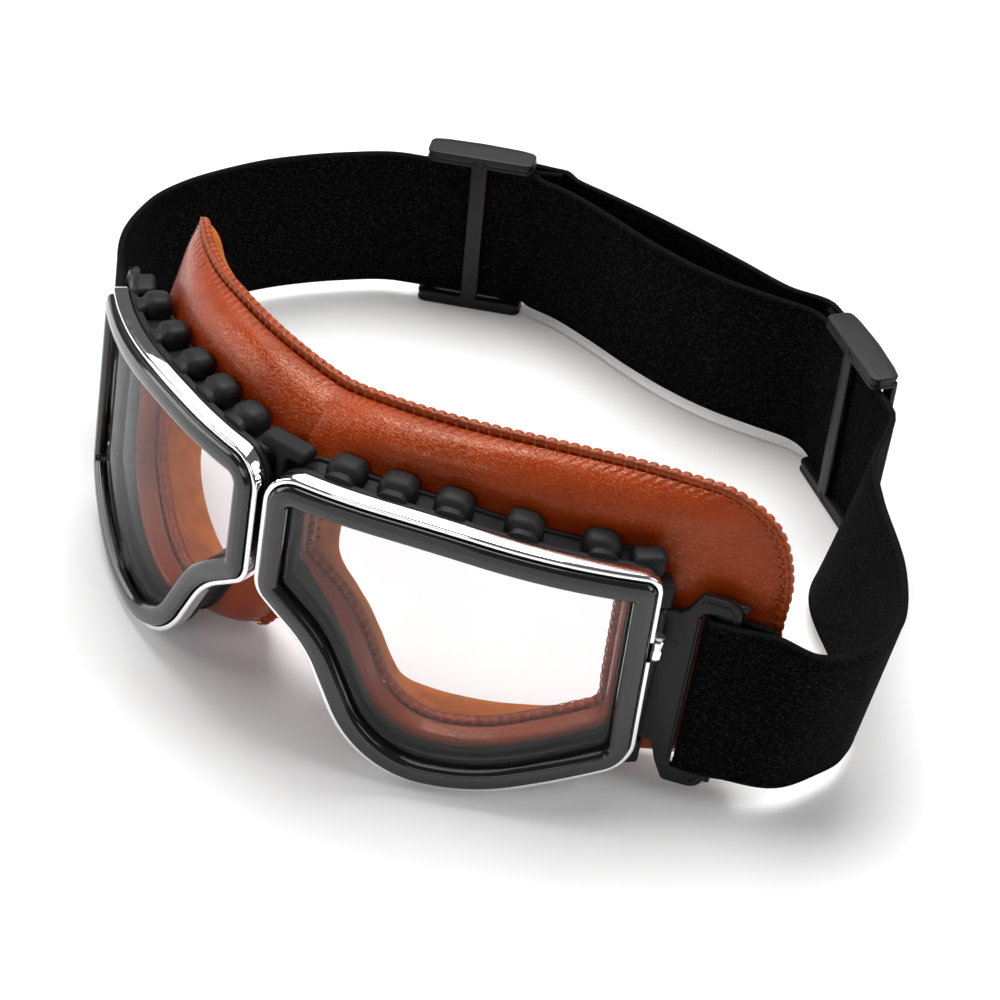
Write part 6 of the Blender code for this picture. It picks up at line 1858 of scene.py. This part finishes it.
def strap_object(name, stations, start_length=0.0):
    """A strap from its lower and upper edge points, with a map of its length and width."""
    profile = edge_profile()
    last = len(stations) - 1
    rows = []
    for index, (low, top) in enumerate(stations):
        one, two = stations[max(index - 1, 0)], stations[min(index + 1, last)]
        ahead = (two[0] + two[1] - one[0] - one[1]).normalized()
        square = ahead.cross(top - low).normalized()
        rows.append([low.lerp(top, share) - square * half for share, half in profile]
                    + [low.lerp(top, share) + square * half for share, half in reversed(profile)])
    shape = bmesh.new()
    strap_map = shape.loops.layers.uv.new("strap")
    made = [[shape.verts.new(point) for point in row] for row in rows]
    lengths = [start_length]
    for one, two in zip(stations, stations[1:]):
        lengths.append(lengths[-1] + ((two[0] + two[1] - one[0] - one[1]) / 2).length)
    widths = [share * STRAP_WIDTH for share, _ in profile]
    widths = widths + list(reversed(widths))
    for station in range(last):
        for column in range(len(widths)):
            beside = (column + 1) % len(widths)
            corners = ((station, column), (station, beside), (station + 1, beside), (station + 1, column))
            face = shape.faces.new([made[row][place] for row, place in corners])
            for loop, (row, place) in zip(face.loops, corners):
                loop[strap_map].uv = (lengths[row] + (MAP_APART if place >= len(profile) else 0.0), widths[place])
    for row in (0, last):
        face = shape.faces.new(made[row])
        for loop, width in zip(face.loops, widths):
            loop[strap_map].uv = (lengths[row], width)
    bmesh.ops.recalc_face_normals(shape, faces=shape.faces)
    strap = finished_object(name, plain_mesh(name, shape), elastic, 50)
    return strap, lengths[-1] - start_length


def slider_stand(side):
    (x, y), turned_by = SLIDER_PLACES[side]
    return Matrix.Translation(Vector((x, y, 0.0)) + SHIFT) @ Matrix.Rotation(turned_by, 4, "Z")


reach = SLIDER_LENGTH / 2
folds, ways, lines = {}, {}, {}
for side in SIDES:
    bar = (side * (BRACKET_REACH - BRACKET_BAR), side * BRACKET_REACH)
    folds[side] = folded_end(stands[side], bar, BRACKET_THICKNESS, 0.0, BRACKET_MIDDLE, 1)
    way = stands[side].to_3x3() @ Vector((side, 0.0, 0.0))
    ways[side] = Vector((way.x, way.y, 0.0)).normalized()
    slider = slider_stand(side)
    near = upright_pair(slider @ Vector((side * (reach + SLIDER_TRAVEL), STRAP_LINE, 0.0)))
    far = upright_pair(slider @ Vector((-side * reach, STRAP_LINE, 0.0)))
    lines[side] = (near, far, (far[0] - near[0]).normalized())
right_near, right_far, right_way = lines[RIGHT]
left_near, left_far, left_way = lines[LEFT]
left_middle = upright_pair(slider_stand(LEFT) @ Vector((0.0, STRAP_LINE, 0.0)))
right_stations = (folds[RIGHT][:-1]
                  + run(folds[RIGHT][-1], ways[RIGHT], route_pairs(RIGHT_ROUTE), right_near, right_way)
                  + run(right_far, right_way, route_pairs(REAR_ROUTE), left_far, -left_way) + [left_middle])
left_stations = (folds[LEFT][:-1]
                 + run(folds[LEFT][-1], ways[LEFT], list(reversed(route_pairs(LEFT_ROUTE))), left_near, left_way)
                 + [left_middle])
right_strap, right_length = strap_object("right_head_strap", right_stations)
left_strap, left_length = strap_object("left_head_strap", left_stations, 1.0)
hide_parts("right_strap_end", "head_strap")
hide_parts("left_strap_end")
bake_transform(right_strap)
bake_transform(left_strap)

# Rear band: a second length of the same elastic outside the first, each end folded and sewn round the rear bar of a
# slider. Its two halves meet in the middle of the back, so that each follows its own slider.
BAND_JOIN = 3


def make_band():
    ends = {}
    for side in SIDES:
        span = (-side * (reach - SLIDER_SIDE_BAR), -side * reach)
        ends[side] = folded_end(slider_stand(side), span, SLIDER_BAR, BAR_LINE, STRAP_MIDDLE, -1)
    middle = run(ends[RIGHT][-1], right_way, route_pairs(BAND_ROUTE), ends[LEFT][-1], -left_way)
    cut = BAND_JOIN * ROUTE_STEPS
    for side, stations in ((RIGHT, ends[RIGHT][:-1] + middle[:cut + 1]),
                           (LEFT, ends[LEFT][:-1] + list(reversed(middle[cut:])))):
        band, length = strap_object(f"{SIDES[side]}_rear_band", stations, 2.0 + side)
        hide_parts(f"{SIDES[side]}_band_end", *(("rear_band",) if side == RIGHT else ()))
        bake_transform(band)


make_band()

# Sliders: satin black moulded frames, each with a bowed rail above and below, two side bars outside the elastic and a
# flat bar inside it. They shorten the strap when pushed along it. Parting lines run round both rails.
RAIL_INNER_CORNER, RAIL_OUTER_CORNER = 0.0021, 0.0019
RAIL_SHOULDER_BEND, RAIL_MIDDLE_BEND = 0.012, 0.03
RAIL_BOW_SHARE = 0.62
RAIL_LAYERS = ((1 / 6, 1.0, 0.0, 0.00035), (1 / 2, 1.3, 0.00022, 0.00005), (5 / 6, 1.0, 0.0, 0.00045))
RAIL_MARK = ((0.0, 0.00002), (0.0004, 0.00002), (0.0006, 0.00016), (0.0009, 0.00016), (0.0011, -0.0002),
             (0.0, -0.0002))
RAIL_MARK_STEPS = 24
BAR_EDGE = 0.00045


def rail_outline(inset):
    """A slider's rail from above, bowed outwards, moved inwards by the inset."""
    inside = CENTRE_BAR_LINE - SLIDER_BAR / 2 + inset
    outside = BAR_LINE + SLIDER_BAR / 2 - inset
    shoulder, end = reach - SLIDER_SIDE_BAR, reach - inset
    return rounded_outline([
        (-end, inside, RAIL_INNER_CORNER),
        (end, inside, RAIL_INNER_CORNER),
        (end, outside, RAIL_OUTER_CORNER),
        (shoulder, outside + SLIDER_BOW * RAIL_BOW_SHARE, RAIL_SHOULDER_BEND),
        (0.0, outside + SLIDER_BOW, RAIL_MIDDLE_BEND),
        (-shoulder, outside + SLIDER_BOW * RAIL_BOW_SHARE, RAIL_SHOULDER_BEND),
        (-end, outside, RAIL_OUTER_CORNER),
    ])


def make_slider(side):
    stand = slider_stand(side)
    low_rail = (0.0, STRAP_LIFT - SLIDER_PLAY)
    top_start = STRAP_LIFT + STRAP_WIDTH + SLIDER_PLAY
    shapes = []
    for low, top in (low_rail, (top_start, top_start + SLIDER_RAIL)):
        for place, thirds, inset, edge in RAIL_LAYERS:
            layer = stand @ Matrix.Translation((0, 0, low + (top - low) * place))
            shapes.append(flat_plate((rail_outline(inset),), (top - low) / 3 * thirds, edge, layer))
        face = Matrix.Translation((0.0, CENTRE_BAR_LINE - SLIDER_BAR / 2, (low + top) / 2)) @ FACING_FRONT
        shapes.append(turned(RAIL_MARK, stand @ face, RAIL_MARK_STEPS))
    upright = (low_rail[1] - SLIDER_RAIL / 2, top_start + SLIDER_RAIL / 2)
    for width, line in (((-SLIDER_CENTRE_BAR / 2, SLIDER_CENTRE_BAR / 2), CENTRE_BAR_LINE),
                        ((-reach, -reach + SLIDER_SIDE_BAR), BAR_LINE), ((reach - SLIDER_SIDE_BAR, reach), BAR_LINE)):
        spans = (width, (line - SLIDER_BAR / 2, line + SLIDER_BAR / 2), upright)
        shapes.append(block(spans, BAR_EDGE, BLOCK_SEGMENTS, lambda point: stand @ point))
    fitted(f"{SIDES[side]}_slider_frame", mesh_of("slider", *shapes), satin_black, 35, "black_plastic",
           f"{SIDES[side]}_slider", f"{SIDES[side]}_slider")


for side in SIDES:
    make_slider(side)
